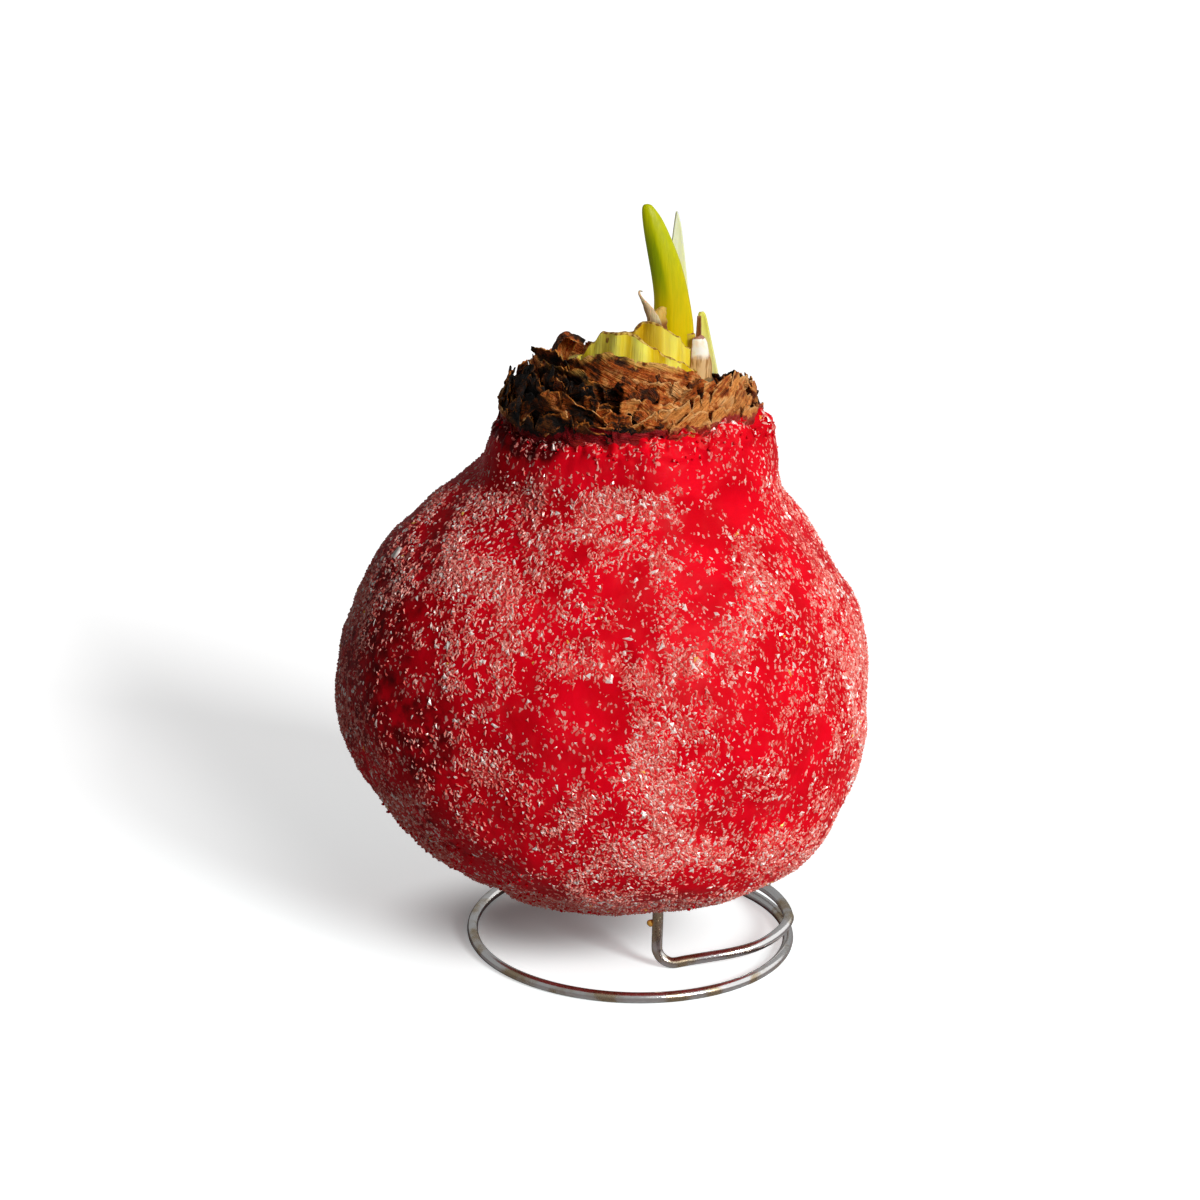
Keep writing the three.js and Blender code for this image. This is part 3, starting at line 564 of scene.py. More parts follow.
def makeFloor():
    # pale paper, lifted for the camera by a painted light that is weakest near the bulb and stronger away from it and
    # towards the front left, so the cast shadow is partly painted; it throws hardly any light back up at the bulb
    material, tree, shader = newMaterial("paperFloor", **{"Roughness": 0.9, "Specular IOR Level": 0.0,
                                                          "Emission Strength": 1.0})
    seen = addNode(tree, "ShaderNodeLightPath").outputs["Is Camera Ray"]
    x, y, z = splitCoordinates(tree, objectCoordinates(tree))
    sideways = maths(tree, "ADD", x, 8 * mm)
    back = maths(tree, "MULTIPLY", maths(tree, "SUBTRACT", y, 12 * mm), 1.4)
    away = maths(tree, "SQRT", maths(tree, "ADD", maths(tree, "POWER", sideways, 2), maths(tree, "POWER", back, 2)))
    near = remap(tree, away, 150 * mm, 40 * mm)
    paper = blendColour(tree, near, (0.95, 0.95, 0.95), (0.86, 0.95, 0.95))  # takes the red glow off the paper
    tree.links.new(blendColour(tree, seen, (0.36, 0.36, 0.36), paper), shader.inputs["Base Color"])
    # painted light for the camera: dim near the bulb as a painted contact shadow, brighter far out and towards the
    # front left where it lightens the cast shadow
    left = maths(tree, "ADD", maths(tree, "MULTIPLY", x, -0.9), maths(tree, "MULTIPLY", y, -0.44))
    lift = maths(tree, "ADD", remap(tree, away, 8 * mm, 37 * mm, 0.05, 0.56), remap(tree, left, 26 * mm, 60 * mm, 0, 0.2))
    tree.links.new(maths(tree, "MULTIPLY", seen, lift), shader.inputs["Emission Color"])
    return material


redWax = makeWax()
bulbFlesh = makeFleshMaterial()
glitterFlake = makeFlake()
drySkin = makeDrySkin()
fleshyScale = makeScale()
whiteScale = makeWhiteScale()
paperyMembrane = makeMembrane()
# the shoot gets the strongest painted glow
shootGreen = makeLeaf("greenShoot", (0.59, 0.43, 0.001), (0.43, 0.44, 0.001), (0.23, 0.29, 0.001), 119, 137, glow=0.25)
paleLeaf = makeLeaf("paleLeaf", (0.94, 0.93, 0.55), (0.90, 0.95, 0.62), (0.84, 0.88, 0.50), 116, 134)
yellowLeaf = makeLeaf("yellowLeaf", (0.90, 0.88, 0.36), (0.80, 0.76, 0.14), (0.62, 0.58, 0.06), 112, 121)
steelWire = makeSteel()
print("materials ready")


# wax coat

coat = {
    "columns": 96, "smooth": 2, "wall": 1.8, "collarFrom": 96, "collarTop": 104,
    "outline": [  # height, middle in x, half width
        (13.4, 1, 16), (13.7, 1, 18.6), (14.8, 1.4, 20.2), (18, 5.0, 27.0), (24.5, 3.2, 37), (33, 2, 43.1), (42, 0.35, 46.4),
        (52, 0, 48.1), (62, -0.1, 46.9), (72, 0.1, 42.9), (80, 0.8, 37.3), (87, 1.8, 30.9), (92, 3.3, 26.9),
        (96, 3.9, 26), (100, 3.8, 24.9), (104, 3.8, 24.1)],
    "baseDepth": 0.87, "bellyDepth": 0.96,
    "rim": [  # degrees round the neck, height
        (0, 104.6), (40, 102.4), (75, 103.2), (105, 101.8), (140, 102.6), (180, 102.2), (201, 103), (213, 102.2),
        (224, 102), (232, 102.8), (240, 104), (252, 104.8), (268, 104.6), (283, 105.2), (295, 105.9), (301, 105.2),
        (309, 106.3), (316, 106.8), (323, 106.3), (331, 105.2), (345, 105.5)],
    "rimInset": 1.7,
    "lumps": [(15, 0.55), (6.5, 0.28), (2.6, 0.13)],  # size, height
    "dents": [  # degrees round the neck, height, radius, how far out
        (268.6, 71.8, 3.2, -1.3), (262, 73.5, 2.2, 0.45), (279, 75, 2.6, 0.5), (286, 70.8, 2.4, 0.5), (290, 66, 2.2, 0.45),
        (276, 70, 2.4, -0.5), (300, 88, 5, -0.5), (330, 60, 6, -0.5), (226, 58, 7, -0.6), (248, 45, 6, 0.5),
        (310, 40, 7, -0.5), (60, 62, 8, -0.6), (120, 45, 9, 0.5), (165, 75, 7, -0.5), (20, 85, 6, 0.4)],
    "glitterAndHighlights": [  # patches of thicker glitter with a painted highlight: degrees round the neck, height, half width in degrees, half height, strength
        (274, 94.2, 19, 2.6, 0.9), (256, 70, 7, 6, 0.3), (277, 66, 8, 5, 0.6), (285, 71, 6, 3.2, 0.8),
        (283, 60, 10, 5, 0.6), (280, 49, 8, 5, 0.8), (276, 56, 6.5, 4, 1.0), (262, 78, 9, 3, 0.4), (344, 80, 9, 9, 0.75), (352, 58, 9, 15, 0.7), (120, 70, 14, 6, 0.5),
        (200, 50, 16, 9, 0.25), (60, 48, 12, 8, 0.4)],
    # patches of painted shade, mostly on the left: degrees round the neck, height, half width in degrees, half height,
    # strength
    "paintedShade": [(196, 62, 34, 34, 0.5), (225, 54, 13, 13, 0.52), (212, 34, 26, 14, 0.42), (60, 70, 14, 12, 0.3)],
}


def depthOf(height, halfWidth):
    belly = mix(coat["baseDepth"], coat["bellyDepth"], smoothstep(height, 12, 32))
    return halfWidth * mix(belly, 1, smoothstep(height, 75, 92))


def coatRings():
    rows = smoothRows(coat["outline"], 3)
    base = coat["outline"][0]
    rings = [(base[1], 0, base[0], r, r * coat["baseDepth"]) for r in (2, 7, 12)]
    rings += [(x, 0, z, half, depthOf(z, half)) for z, x, half in rows]
    outside = len(rings)
    top, wall = rows[-1], coat["wall"]
    rings.append((top[1], 0, top[0] + 0.35, top[2] - 0.5 * wall, top[2] - 0.5 * wall))
    for k in range(len(rows) - 1, 0, -4):
        z, x, half = rows[k]
        rise, run = rows[k][0] - rows[k - 1][0], rows[k][2] - rows[k - 1][2]
        slope = math.hypot(rise, run)
        inner = half - wall * rise / slope
        rings.append((x, 0, z + wall * run / slope, inner, depthOf(z, inner)))
    rings.append((base[1], 0, base[0] + wall, 2, 2))
    return rings, outside


def turnBetween(angle, degrees):
    return (math.degrees(angle) - degrees + 180) % 360 - 180


def waxMoves(point, angle):
    # how far the wax stands out at a point, in mm
    z = point.z / mm
    reach = math.hypot(point.x / mm - 3.8, point.y / mm)
    spots = 0
    for degrees, height, size, out in coat["dents"]:
        away = math.hypot(math.radians(turnBetween(angle, degrees)) * reach, z - height) / size
        spots += out * (1 - smoothstep(away, 0.1, 1.2)) if away < 1.2 else 0
    dent = (0.35 * math.sin(3 * angle + 0.09 * z + 0.6) * math.sin(0.13 * z)
            + 0.3 * math.sin(5 * angle - 0.12 * z + 2.1) + 0.2 * math.sin(9 * angle + 0.21 * z))
    lumps = sum(height * noise.noise(point / (size * mm)) for size, height in coat["lumps"])
    collar = smoothstep(z, 99.5, 103.5)
    rough = collar * (0.9 * noise.noise(point / (2.3 * mm)) + 0.6 * noise.noise(point / (1.1 * mm)))
    return dent * smoothstep(z, 14, 24) + lumps + spots + rough


def glitterAndHighlightHere(point, angle):
    # how strongly a point lies in a patch of thicker glitter with a painted highlight
    z = point.z / mm
    ragged = 0.5 * noise.noise(point / (3 * mm)) + 0.35 * noise.noise(point / (1.2 * mm))
    most = 0
    for degrees, height, wide, tall, strength in coat["glitterAndHighlights"]:
        away = max(abs(turnBetween(angle, degrees)) / wide, abs(z - height) / tall) + ragged
        most = max(most, strength * (1 - smoothstep(away, 0.5, 1.05)))
    return most


def darkWaxAndShadeHere(point, angle):
    # darker wax just under the rim at the left, and painted shade in the listed patches, mostly on the left
    z = point.z / mm
    left = 1 - smoothstep(abs(turnBetween(angle, 212)), 22, 42)
    most = left * smoothstep(z, around(coat["rim"], angle) - 5.5, around(coat["rim"], angle) - 0.5)
    for degrees, height, wide, tall, strength in coat["paintedShade"]:
        away = math.hypot(turnBetween(angle, degrees) / wide, (z - height) / tall)
        most = max(most, strength * (1 - smoothstep(away, 0.4, 1.1)))
    return most


def makeCoat():
    rings, outside = coatRings()
    columns = coat["columns"]
    obj = stackRings(rings, columns)
    ringOf = [v.index // columns for v in obj.data.vertices]
    storeValues(obj, "outside", [1.0 if 3 <= k < outside else 0.0 for k in ringOf])
    closeRing(obj, len(ringOf) - columns, columns)
    closeRing(obj, 0, columns)
    tidyNormals(obj)
    applyModifier(obj, "SUBSURF", levels=coat["smooth"], render_levels=coat["smooth"])
    share = [item.value for item in obj.data.attributes["outside"].data]
    normals = [v.normal.copy() for v in obj.data.vertices]
    low, top = coat["collarFrom"], coat["collarTop"]
    for v, amount, normal in zip(obj.data.vertices, share, normals):
        angle = math.atan2(v.co.y, v.co.x - 3.8 * mm)
        z = v.co.z / mm
        if z > low:
            ragged = 0.6 * noise.noise(Vector((angle * 7, 3, 1))) + 0.75 * noise.noise(Vector((angle * 19, 5, 2)))
            ragged += 0.7 * noise.noise(Vector((angle * 42, 7, 3)))
            rim = around(coat["rim"], angle) + ragged
            v.co.z = mix(low, rim, (z - low) / (top - low)) * mm
            inward = coat["rimInset"] * amount * smoothstep(v.co.z / mm, rim - 2.2, rim + 0.3)
            v.co.x -= inward * math.cos(angle) * mm
            v.co.y -= inward * math.sin(angle) * mm
        v.co += normal * (amount * waxMoves(v.co, angle) * mm)
    angles = [math.atan2(v.co.y, v.co.x - 3.8 * mm) for v in obj.data.vertices]
    storeValues(obj, "glitterAndHighlight", [glitterAndHighlightHere(v.co, angle) for v, angle in zip(obj.data.vertices, angles)])
    storeValues(obj, "stain", [darkWaxAndShadeHere(v.co, angle) for v, angle in zip(obj.data.vertices, angles)])
    return obj


coatPiece = makeCoat()
finishPiece(coatPiece, "wax_coat_dipped", redWax, "red_wax", "wax_coat")


# glitter: closed little shards half sunk in the wax

glitter = {
    "count": 57000, "seed": 7, "pieces": 3, "length": (0.5, 1.45), "width": (0.28, 0.64), "proud": (0.08, 0.32),
    "sunk": 0.08, "patch": 6.5, "fine": 1.7,
    "frost": [  # degrees round the neck, height, half width in degrees, half height, more or less of it
        (232, 76, 22, 12, 0.28), (254, 72, 12, 8, 0.25), (212, 88, 20, 7, 0.3), (281, 49, 9, 7, 0.7), (277, 56, 9, 6, 0.9),
        (268, 36, 24, 7, 0.35), (290, 34, 20, 6, 0.35), (311, 80, 7, 7, 0.6), (316, 70, 8, 6, 0.4), (336, 57, 8, 10, 0.4),
        (294, 73, 5, 5, 0.4), (299, 89, 9, 5, -0.7), (293, 79, 7, 5, -0.5), (256, 63, 13, 9, -1.1), (257, 52, 9, 5, -0.6),
        (340, 84, 10, 8, -0.8), (318, 98, 12, 5, -0.3), (294, 103, 12, 4, -0.5), (258, 101, 22, 3, -0.5),
        (301, 61, 9, 8, -0.6), (316, 43, 8, 6, -0.5), (222, 57, 12, 14, -0.5), (235, 40, 14, 12, -0.45), (211, 63, 10, 12, -0.4), (273, 74.5, 4, 3, -0.5),
        (30, 60, 16, 12, 0.4), (75, 80, 18, 8, -0.5), (100, 50, 16, 10, 0.4), (140, 70, 14, 12, -0.4),
        (170, 48, 16, 9, 0.35), (50, 35, 18, 6, -0.4)],
}


def frostOver(spots):
    turns = np.degrees(np.arctan2(spots[:, 1], spots[:, 0] - 3.8 * mm))
    frost = np.zeros(len(spots))
    for degrees, height, wide, tall, amount in glitter["frost"]:
        away = np.hypot(((turns - degrees + 180) % 360 - 180) / wide, (spots[:, 2] / mm - height) / tall)
        frost += amount * np.clip(1.35 - away, 0, 1)
    return frost


def frostCoat(obj):
    # where the chips lie thick, the wax between them is pale too
    frost = frostOver(np.array([v.co for v in obj.data.vertices]))
    values = []
    for v, more in zip(obj.data.vertices, frost):
        broad = noise.noise(v.co / (glitter["patch"] * mm)) + 0.55 * noise.noise(v.co / (2.6 * glitter["patch"] * mm))
        values.append(smoothstep(broad + 0.7 * more, -0.1, 0.6))
    storeValues(obj, "frosted", values)


def glitterPlaces(obj):
    # points spread over the outside by area, kept or dropped by two noises, so they gather in patches
    draw = np.random.default_rng(glitter["seed"])
    mesh = obj.data
    mesh.calc_loop_triangles()
    triangles = np.array([t.vertices for t in mesh.loop_triangles])
    points = np.array([v.co for v in mesh.vertices])
    outside = np.array([item.value for item in mesh.attributes["outside"].data])
    glitterAndHighlight = np.array([item.value for item in mesh.attributes["glitterAndHighlight"].data])
    triangles = triangles[(outside[triangles].min(axis=1) > 0.6)]
    a, b, c = points[triangles[:, 0]], points[triangles[:, 1]], points[triangles[:, 2]]
    cross = np.cross(b - a, c - a)
    area = np.linalg.norm(cross, axis=1)
    tries = glitter["count"] * 3
    chosen = draw.choice(len(triangles), tries, p=area / area.sum())
    s, t = draw.random(tries), draw.random(tries)
    flip = s + t > 1
    s[flip], t[flip] = 1 - s[flip], 1 - t[flip]
    spots = a[chosen] + (b - a)[chosen] * s[:, None] + (c - a)[chosen] * t[:, None]
    ups = cross[chosen] / area[chosen][:, None]
    chance = draw.random(tries)
    frost = frostOver(spots)
    kept = []
    for k in range(tries):
        spot = Vector(spots[k])
        z = spot.z / mm
        broad = (noise.noise(spot / (glitter["patch"] * mm)) + 0.55 * noise.noise(spot / (2.6 * glitter["patch"] * mm))
                 + 0.75 * noise.noise(spot / (glitter["fine"] * mm)))
        wanted = 0.05 + 0.74 * smoothstep(broad, -0.3, 0.6)
        wanted *= mix(0.3, 1, smoothstep(z, 101, 88)) + 0.3 * smoothstep(z, 101.5, 103.5)
        wanted += 0.8 * glitterAndHighlight[triangles[chosen[k], 0]]
        wanted += frost[k] * (0.3 + 0.8 * smoothstep(broad, -0.5, 0.3))
        wanted = max(wanted, 0.04, 0.55 * smoothstep(z, 27, 17))
        if chance[k] < wanted:
            kept.append(k)
        if len(kept) == glitter["count"]:
            break
    return spots[kept], ups[kept], frost[kept], draw


def makeGlitter(obj):
    spots, ups, frost, draw = glitterPlaces(obj)
    count = len(spots)
    turn = draw.normal(0, 0.9, count)
    upward = np.array([0, 0, 1.0]) - ups * ups[:, 2:3]
    upward /= np.linalg.norm(upward, axis=1)[:, None] + 1e-9
    across = np.cross(ups, upward)
    along = upward * np.cos(turn)[:, None] + across * np.sin(turn)[:, None]
    across = np.cross(ups, along)
    big = draw.random(count) < 0.03
    length = draw.uniform(*glitter["length"], count) * np.where(big, 1.3, 1) * mm / 2
    width = draw.uniform(*glitter["width"], count) * np.where(big, 1.8, 1) * mm / 2
    proud = draw.uniform(*glitter["proud"], count) * mm
    bow = draw.uniform(-0.6, 0.6, count) * width * 2
    foot = spots - ups * glitter["sunk"] * mm
    skew = draw.uniform(-0.7, 0.7, (4, count))
    corners = np.stack([
        foot + along * (length * (skew[0] - 1))[:, None] + across * (bow - width * 0.5)[:, None],
        foot + along * (length * (0.6 + 0.5 * skew[1]))[:, None] - across * width[:, None],
        foot + along * (length * (1 + 0.3 * skew[2]))[:, None] + across * (bow + width * 0.5)[:, None],
        foot - along * (length * (0.5 + 0.5 * skew[3]))[:, None] + across * width[:, None],
        spots + ups * proud[:, None] + across * (bow * draw.uniform(0.3, 1, count))[:, None],
    ], axis=1)
    tone = draw.random(count) ** 1.1 * 0.92 + 0.2 * np.clip(frost, -0.5, 1) * draw.random(count)
    tone = np.where(big, draw.uniform(0.86, 0.99, count), np.clip(tone, 0, 0.95))
    faces = np.array([[0, 1, 4], [1, 2, 4], [2, 3, 4], [3, 0, 4], [0, 3, 2], [0, 2, 1]])
    pieces = []
    for k, group in enumerate(np.array_split(np.arange(count), glitter["pieces"])):
        mesh = bpy.data.meshes.new("glitter")
        triangles = (faces[None] + 5 * np.arange(len(group))[:, None, None]).reshape(-1, 3)
        mesh.from_pydata(corners[group].reshape(-1, 3).tolist(), [], triangles.tolist())
        piece = bpy.data.objects.new("glitter", mesh)
        bpy.context.collection.objects.link(piece)
        storeValues(piece, "tone", np.repeat(tone[group], 5))
        piece.name = piece.data.name = "glitter_" + str(k + 1)
        mesh.materials.append(glitterFlake)
        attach(piece, "root")
        pieces.append(piece)
    print("scattered", count, "shards of glitter")
    return pieces


frostCoat(coatPiece)
glitterPieces = makeGlitter(coatPiece)


# crumbs of wax and a few odd chips stuck to the coat

crumbs = {
    "count": 260, "seed": 23, "size": (0.35, 0.95),
    "bands": [(196, 250, 17, 34, 0.55), (150, 400, 101.5, 104.5, 0.3), (0, 360, 14, 20, 0.15)],  # degrees, heights, share
    "chip": (-36.5, -9.0, 79.3), "chipSize": (0.25, 1.6, 2.2), "goldCrumb": (10.0, -7.9, 8.8),
}


def makeCrumbs(obj):
    draw = random.Random(crumbs["seed"])
    outside = [v for v, item in zip(obj.data.vertices, obj.data.attributes["outside"].data) if item.value > 0.8]
    pieces = []
    for first, last, low, high, share in crumbs["bands"]:
        middle, half = (first + last) / 2, (last - first) / 2
        near = [v for v in outside if low < v.co.z / mm < high
                and abs(turnBetween(math.atan2(v.co.y, v.co.x - 3.8 * mm), middle)) <= min(half, 180)]
        for _ in range(int(crumbs["count"] * share)):
            v = draw.choice(near)
            size = draw.uniform(*crumbs["size"]) * mm
            deselectAll()
            bpy.ops.mesh.primitive_ico_sphere_add(subdivisions=1, radius=size / 2)
            crumb = bpy.context.object
            turn = Matrix.Rotation(draw.uniform(0, 6.3), 4, "Z") @ Matrix.Rotation(draw.uniform(0, 3), 4, "X")
            shape = Matrix.Diagonal((1, draw.uniform(0.6, 0.9), draw.uniform(0.4, 0.8), 1))
            crumb.data.transform(Matrix.Translation(v.co + v.normal * size * 0.2) @ turn @ shape)
            for name in ("glitterAndHighlight", "stain", "frosted"):
                storeValues(crumb, name, [0.0] * len(crumb.data.vertices))
            pieces.append(crumb)
    return joinPieces(pieces)


def makeOddChips():
    # a square cream chip on the left shoulder and a gold crumb by the peg
    deselectAll()
    bpy.ops.mesh.primitive_cube_add(size=1)
    chip = bpy.context.object
    near = min(coatPiece.data.vertices, key=lambda v: (v.co - Vector(crumbs["chip"]) * mm).length)
    facing = near.normal.to_track_quat("X", "Z").to_matrix().to_4x4()
    place = Matrix.Translation(near.co + near.normal * 0.12 * mm)
    chip.data.transform(place @ facing @ Matrix.Diagonal((*[side * mm for side in crumbs["chipSize"]], 1)))
    storeValues(chip, "tone", [0.9] * 8)
    deselectAll()
    bpy.ops.mesh.primitive_ico_sphere_add(subdivisions=2, radius=0.65 * mm)
    crumb = bpy.context.object
    for v in crumb.data.vertices:
        v.co *= 1 + 0.5 * noise.noise(v.co / (0.4 * mm))
    crumb.data.transform(Matrix.Translation(Vector(crumbs["goldCrumb"]) * mm))
    storeValues(crumb, "tone", [1.0] * len(crumb.data.vertices))
    return joinPieces([chip, crumb])


finishPiece(makeCrumbs(coatPiece), "wax_crumbs", redWax, "red_wax")
finishPiece(makeOddChips(), "odd_chips", glitterFlake, "red_wax")
print("crumbs ready")


# bulb inside its wax, with the cut rings of its crown

neckX = 3.8
flesh = {
    "columns": 72, "inset": 2.1, "ledge": 98.8,
    "neck": [(17.2, 98.8), (16.8, 104), (15.6, 108), (14.2, 109.4)],
    "crown": [  # radius and height of the old cut scales, from the outside in
        (13.7, 110.9), (13.2, 111.1), (12.8, 109.9), (10.4, 109.9), (10.1, 111), (9.6, 111.1), (9.2, 109.8),
        (7.3, 109.8), (7, 110.9), (6.5, 111), (6.1, 109.7), (4.4, 109.8), (4.1, 110.7), (3.6, 110.8), (3.2, 109.8), (1, 109.8)],
}


def makeFlesh():
    rows = [row for row in smoothRows(coat["outline"], 1) if row[0] < 96]
    rings = [(1, 0, 15.5, 2, 2)]
    rings += [(x, 0, max(z, 15.5), half - flesh["inset"], depthOf(z, half - flesh["inset"])) for z, x, half in rows]
    rings.append((neckX, 0, flesh["ledge"], 22, 22))
    rings += [(neckX, 0, z, r, r) for r, z in flesh["neck"]]
    crownFrom = len(rings)
    rings += [(neckX, 0, z, r, r) for r, z in flesh["crown"]]
    columns = flesh["columns"]
    obj = stackRings(rings, columns)
    ringOf = [v.index // columns for v in obj.data.vertices]
    cut = []
    for v, k in zip(obj.data.vertices, ringOf):
        onCrown = k >= crownFrom
        angle = math.atan2(v.co.y, v.co.x - neckX * mm)
        high = onCrown and flesh["crown"][k - crownFrom][1] > 110.3
        if high:
            v.co.z += (0.7 * noise.noise(Vector((angle * 2.2, k, 0))) + 0.5 * noise.noise(Vector((angle * 8, k, 3)))) * mm
        if onCrown:
            v.co.x += 0.5 * noise.noise(Vector((angle * 2, k // 4, 9))) * mm
            v.co.y += 0.5 * noise.noise(Vector((angle * 2, k // 4, 5))) * mm
        cut.append(1.0 if high else 0.0)
    storeValues(obj, "cut", cut)
    closeRing(obj, len(ringOf) - columns, columns)
    closeRing(obj, 0, columns)
    tidyNormals(obj)
    applyModifier(obj, "SUBSURF", levels=1, render_levels=1)
    return obj


finishPiece(makeFlesh(), "bulb_crown", bulbFlesh, "bulb_flesh", "bulb_flesh")


# dry skins: torn sheets bent round the neck, layer inside layer

skins = {
    "cell": 0.33, "thickness": 0.16, "seed": 12, "bits": 110,
    "sheets": {  # radius at foot and top, foot height, shade at both ends, film of wax; tops in degrees and height; the shades run dark at the left and tan at the right, partly as painted shade
        "lowLeft": {
            "radius": (22.4, 23.0), "lie": -8, "foot": 101, "shade": (0.0, 0.14), "waxed": 0.75, "piece": "outer", "lean": 0.4,
            "tops": [(166, 104.6), (185, 104.4), (206, 106.2), (223, 106.6), (237, 107.8), (250, 107.4), (263, 106.4)]},
        "film": {
            "radius": (22.7, 23.0), "lie": -5, "foot": 102, "shade": (0.35, 0.6), "waxed": 1.5, "piece": "outer", "lean": 0,
            "tops": [(236, 105.4), (248, 107.3), (258, 106.8), (270, 106.4), (280, 107.2), (294, 106)]},
        "lowRight": {
            "radius": (22.5, 22.9), "lie": 42, "crush": 0.4, "ridges": 1, "foot": 102.6, "shade": (0.88, 1.0), "waxed": 0.7, "piece": "outer", "lean": 0.3,
            "tops": [(282, 105.4), (289, 107.5), (298, 109.5), (311, 109.2), (324, 108.3), (337, 107.8), (356, 105.6),
                     (372, 105)]},
        "leftTongue": {
            "radius": (21.2, 22.0), "lie": -12, "foot": 103.6, "shade": (0.3, 0.5), "waxed": 0.2, "piece": "outer", "lean": 0.6,
            "tops": [(216, 107.8), (224, 110), (231, 111.4), (237, 111.4), (249, 109.8), (258, 108.7), (267, 107)]},
        "leftSpikes": {
            "radius": (21.0, 20.9), "lie": -10, "foot": 103, "shade": (0.0, 0.2), "waxed": 0, "piece": "outer", "lean": 0.3,
            "tops": [(156, 107), (168, 107.6), (184, 109.4), (195, 110.4), (205, 111.6), (217, 112.4), (233, 110.6)]},
        "leftDark": {
            "radius": (19.4, 18.6), "lie": -20, "foot": 105, "shade": (0.0, 0.12), "waxed": 0, "piece": "outer", "lean": 0,
            "tops": [(176, 109.6), (196, 110.8), (220, 111.2), (238, 110.6), (252, 110), (270, 109.4)]},
        "right": {
            "radius": (21.2, 21.5), "lie": 38, "crush": 0.45, "ridges": 1, "foot": 104, "shade": (0.8, 0.97), "waxed": 0, "piece": "outer", "lean": 0.4,
            "tops": [(262, 106.5), (271, 107.5), (284, 109.6), (294, 110.4), (303, 112.2), (315, 112.6), (322, 111.9),
                     (331, 110.6), (340, 109), (350, 108)]},
        "rightHigh": {
            "radius": (19.6, 20.1), "lie": 35, "crush": 0.6, "ridges": 0.8, "foot": 106, "shade": (0.75, 0.9), "waxed": 0, "piece": "inner", "lean": 0.3,
            "tops": [(294, 111.6), (303, 112.9), (315, 113.6), (324, 113.9), (331, 113.7), (337, 112.6), (345, 112.4),
                     (356, 110.6), (372, 109)]},
        "ridge": {
            "radius": (17.4, 18.7), "lie": -38, "tear": 0.5, "ridges": 0.5, "foot": 106.4, "shade": (0.5, 0.72), "waxed": 0, "piece": "inner", "lean": 0.5,
            "skew": 13, "tops": [(259, 113), (264, 115.2), (268, 114.8), (277, 113.8), (287, 114.1), (295, 113.6), (306, 112)]},
        "leftInner": {
            "radius": (16.2, 17.0), "lie": -25, "foot": 107, "shade": (0.2, 0.4), "waxed": 0, "piece": "inner", "lean": 0.2, "pale": 0.5,
            "tops": [(190, 111.8), (201, 112.8), (214, 114.2), (225, 114.5), (234, 114.9), (240, 114.8), (244, 113.6),
                     (250, 113), (262, 112)]},
        "curtain": {
            "radius": (15.2, 14.3), "lie": -20, "tear": 0.3, "crush": 0.5, "foot": 108, "shade": (0.55, 0.68), "waxed": 0, "piece": "inner", "lean": 0, "pale": 1,
            "tops": [(200, 113), (212, 114.4), (230, 115.7), (238, 116.7), (245, 117.1), (255, 117.7), (262, 117.4),
                     (271, 116.6), (289, 115.8), (302, 114.9), (314, 113.7), (332, 112.8)]},
    },
    "behind": [  # the same layers round the back: radii, foot, height of the top, sheets
        ("outer", (22.4, 22.8), 101.4, 105.2, 3), ("outer", (21.2, 21.7), 103, 107.4, 3),
        ("inner", (19.8, 20.0), 105, 109.6, 3), ("inner", (18.0, 17.8), 106.4, 111.2, 3),
        ("inner", (16.0, 15.2), 108, 112.4, 2)],
    "flaps": [
        {"spine": [(-6.4, -9, 110.4), (-7.8, -8.2, 113), (-9.4, -7.2, 114.8), (-11.6, -5.6, 115), (-14.1, -4, 115.4)],
         "halfWidths": [1.6, 2.0, 1.9, 1.5, 0.35], "side": (0.1, -0.5, 0.85), "cup": 0.3, "seed": 3, "shade": 0.42,
         "pale": 0.9},
        {"spine": [(-9.8, -3.2, 110.5), (-9.9, -2.8, 114.4), (-9.3, -2.4, 117), (-7.9, -2, 118.1), (-6.3, -2, 117.5),
                   (-4.6, -2.3, 116.6)],
         "halfWidths": [2.4, 2.3, 1.9, 1.8, 1.5, 0.7], "side": (0.15, 0.95, 0), "cup": 0.35, "seed": 8, "shade": 0.5},
        {"spine": [(12.5, -12.8, 108.6), (13.6, -13.4, 110.6), (15.4, -12.8, 111.9), (17, -11.6, 112.3)],
         "halfWidths": [2.0, 1.9, 1.5, 0.4], "side": (-0.3, 0.4, 0.85), "cup": 0.5, "seed": 33, "shade": 0.3},
        {"spine": [(20.6, -7, 106), (22.4, -7.6, 108.4), (23.0, -6.6, 110.2), (21.8, -5, 111)],
         "halfWidths": [2.8, 2.6, 1.9, 0.5], "side": (0.3, 0.9, 0.2), "cup": -0.4, "seed": 41, "shade": 0.85},
        {"spine": [(-8.9, -0.6, 110.6), (-8.8, -0.6, 113), (-8.1, -0.6, 115.4), (-7.9, -0.6, 117.2)],
         "halfWidths": [1.1, 1.2, 1.6, 1.0], "side": (1, 0, 0), "cup": 0.2, "seed": 61, "shade": 0.85, "pale": 1}],
}


def tornEdge(arc, seed):
    # how far a torn edge rises or drops after so many mm along it
    edge = 0.9 * noise.noise(Vector((arc / 6.5, seed, 0))) + 0.5 * noise.noise(Vector((arc / 2.2, seed, 4)))
    edge += 0.3 * noise.noise(Vector((arc / 0.8, seed, 6)))
    strip = arc / 4.1 + 1.6 * noise.noise(Vector((arc / 7, seed, 2))) + seed * 0.37
    edge += 0.8 * (strip % 1 - 0.5)  # torn strips: each climbs slowly and ends in a sharp step
    slit = abs(noise.noise(Vector((arc / 8, seed, 8))))
    return edge - 2.2 * (1 - smoothstep(slit, 0, 0.03))


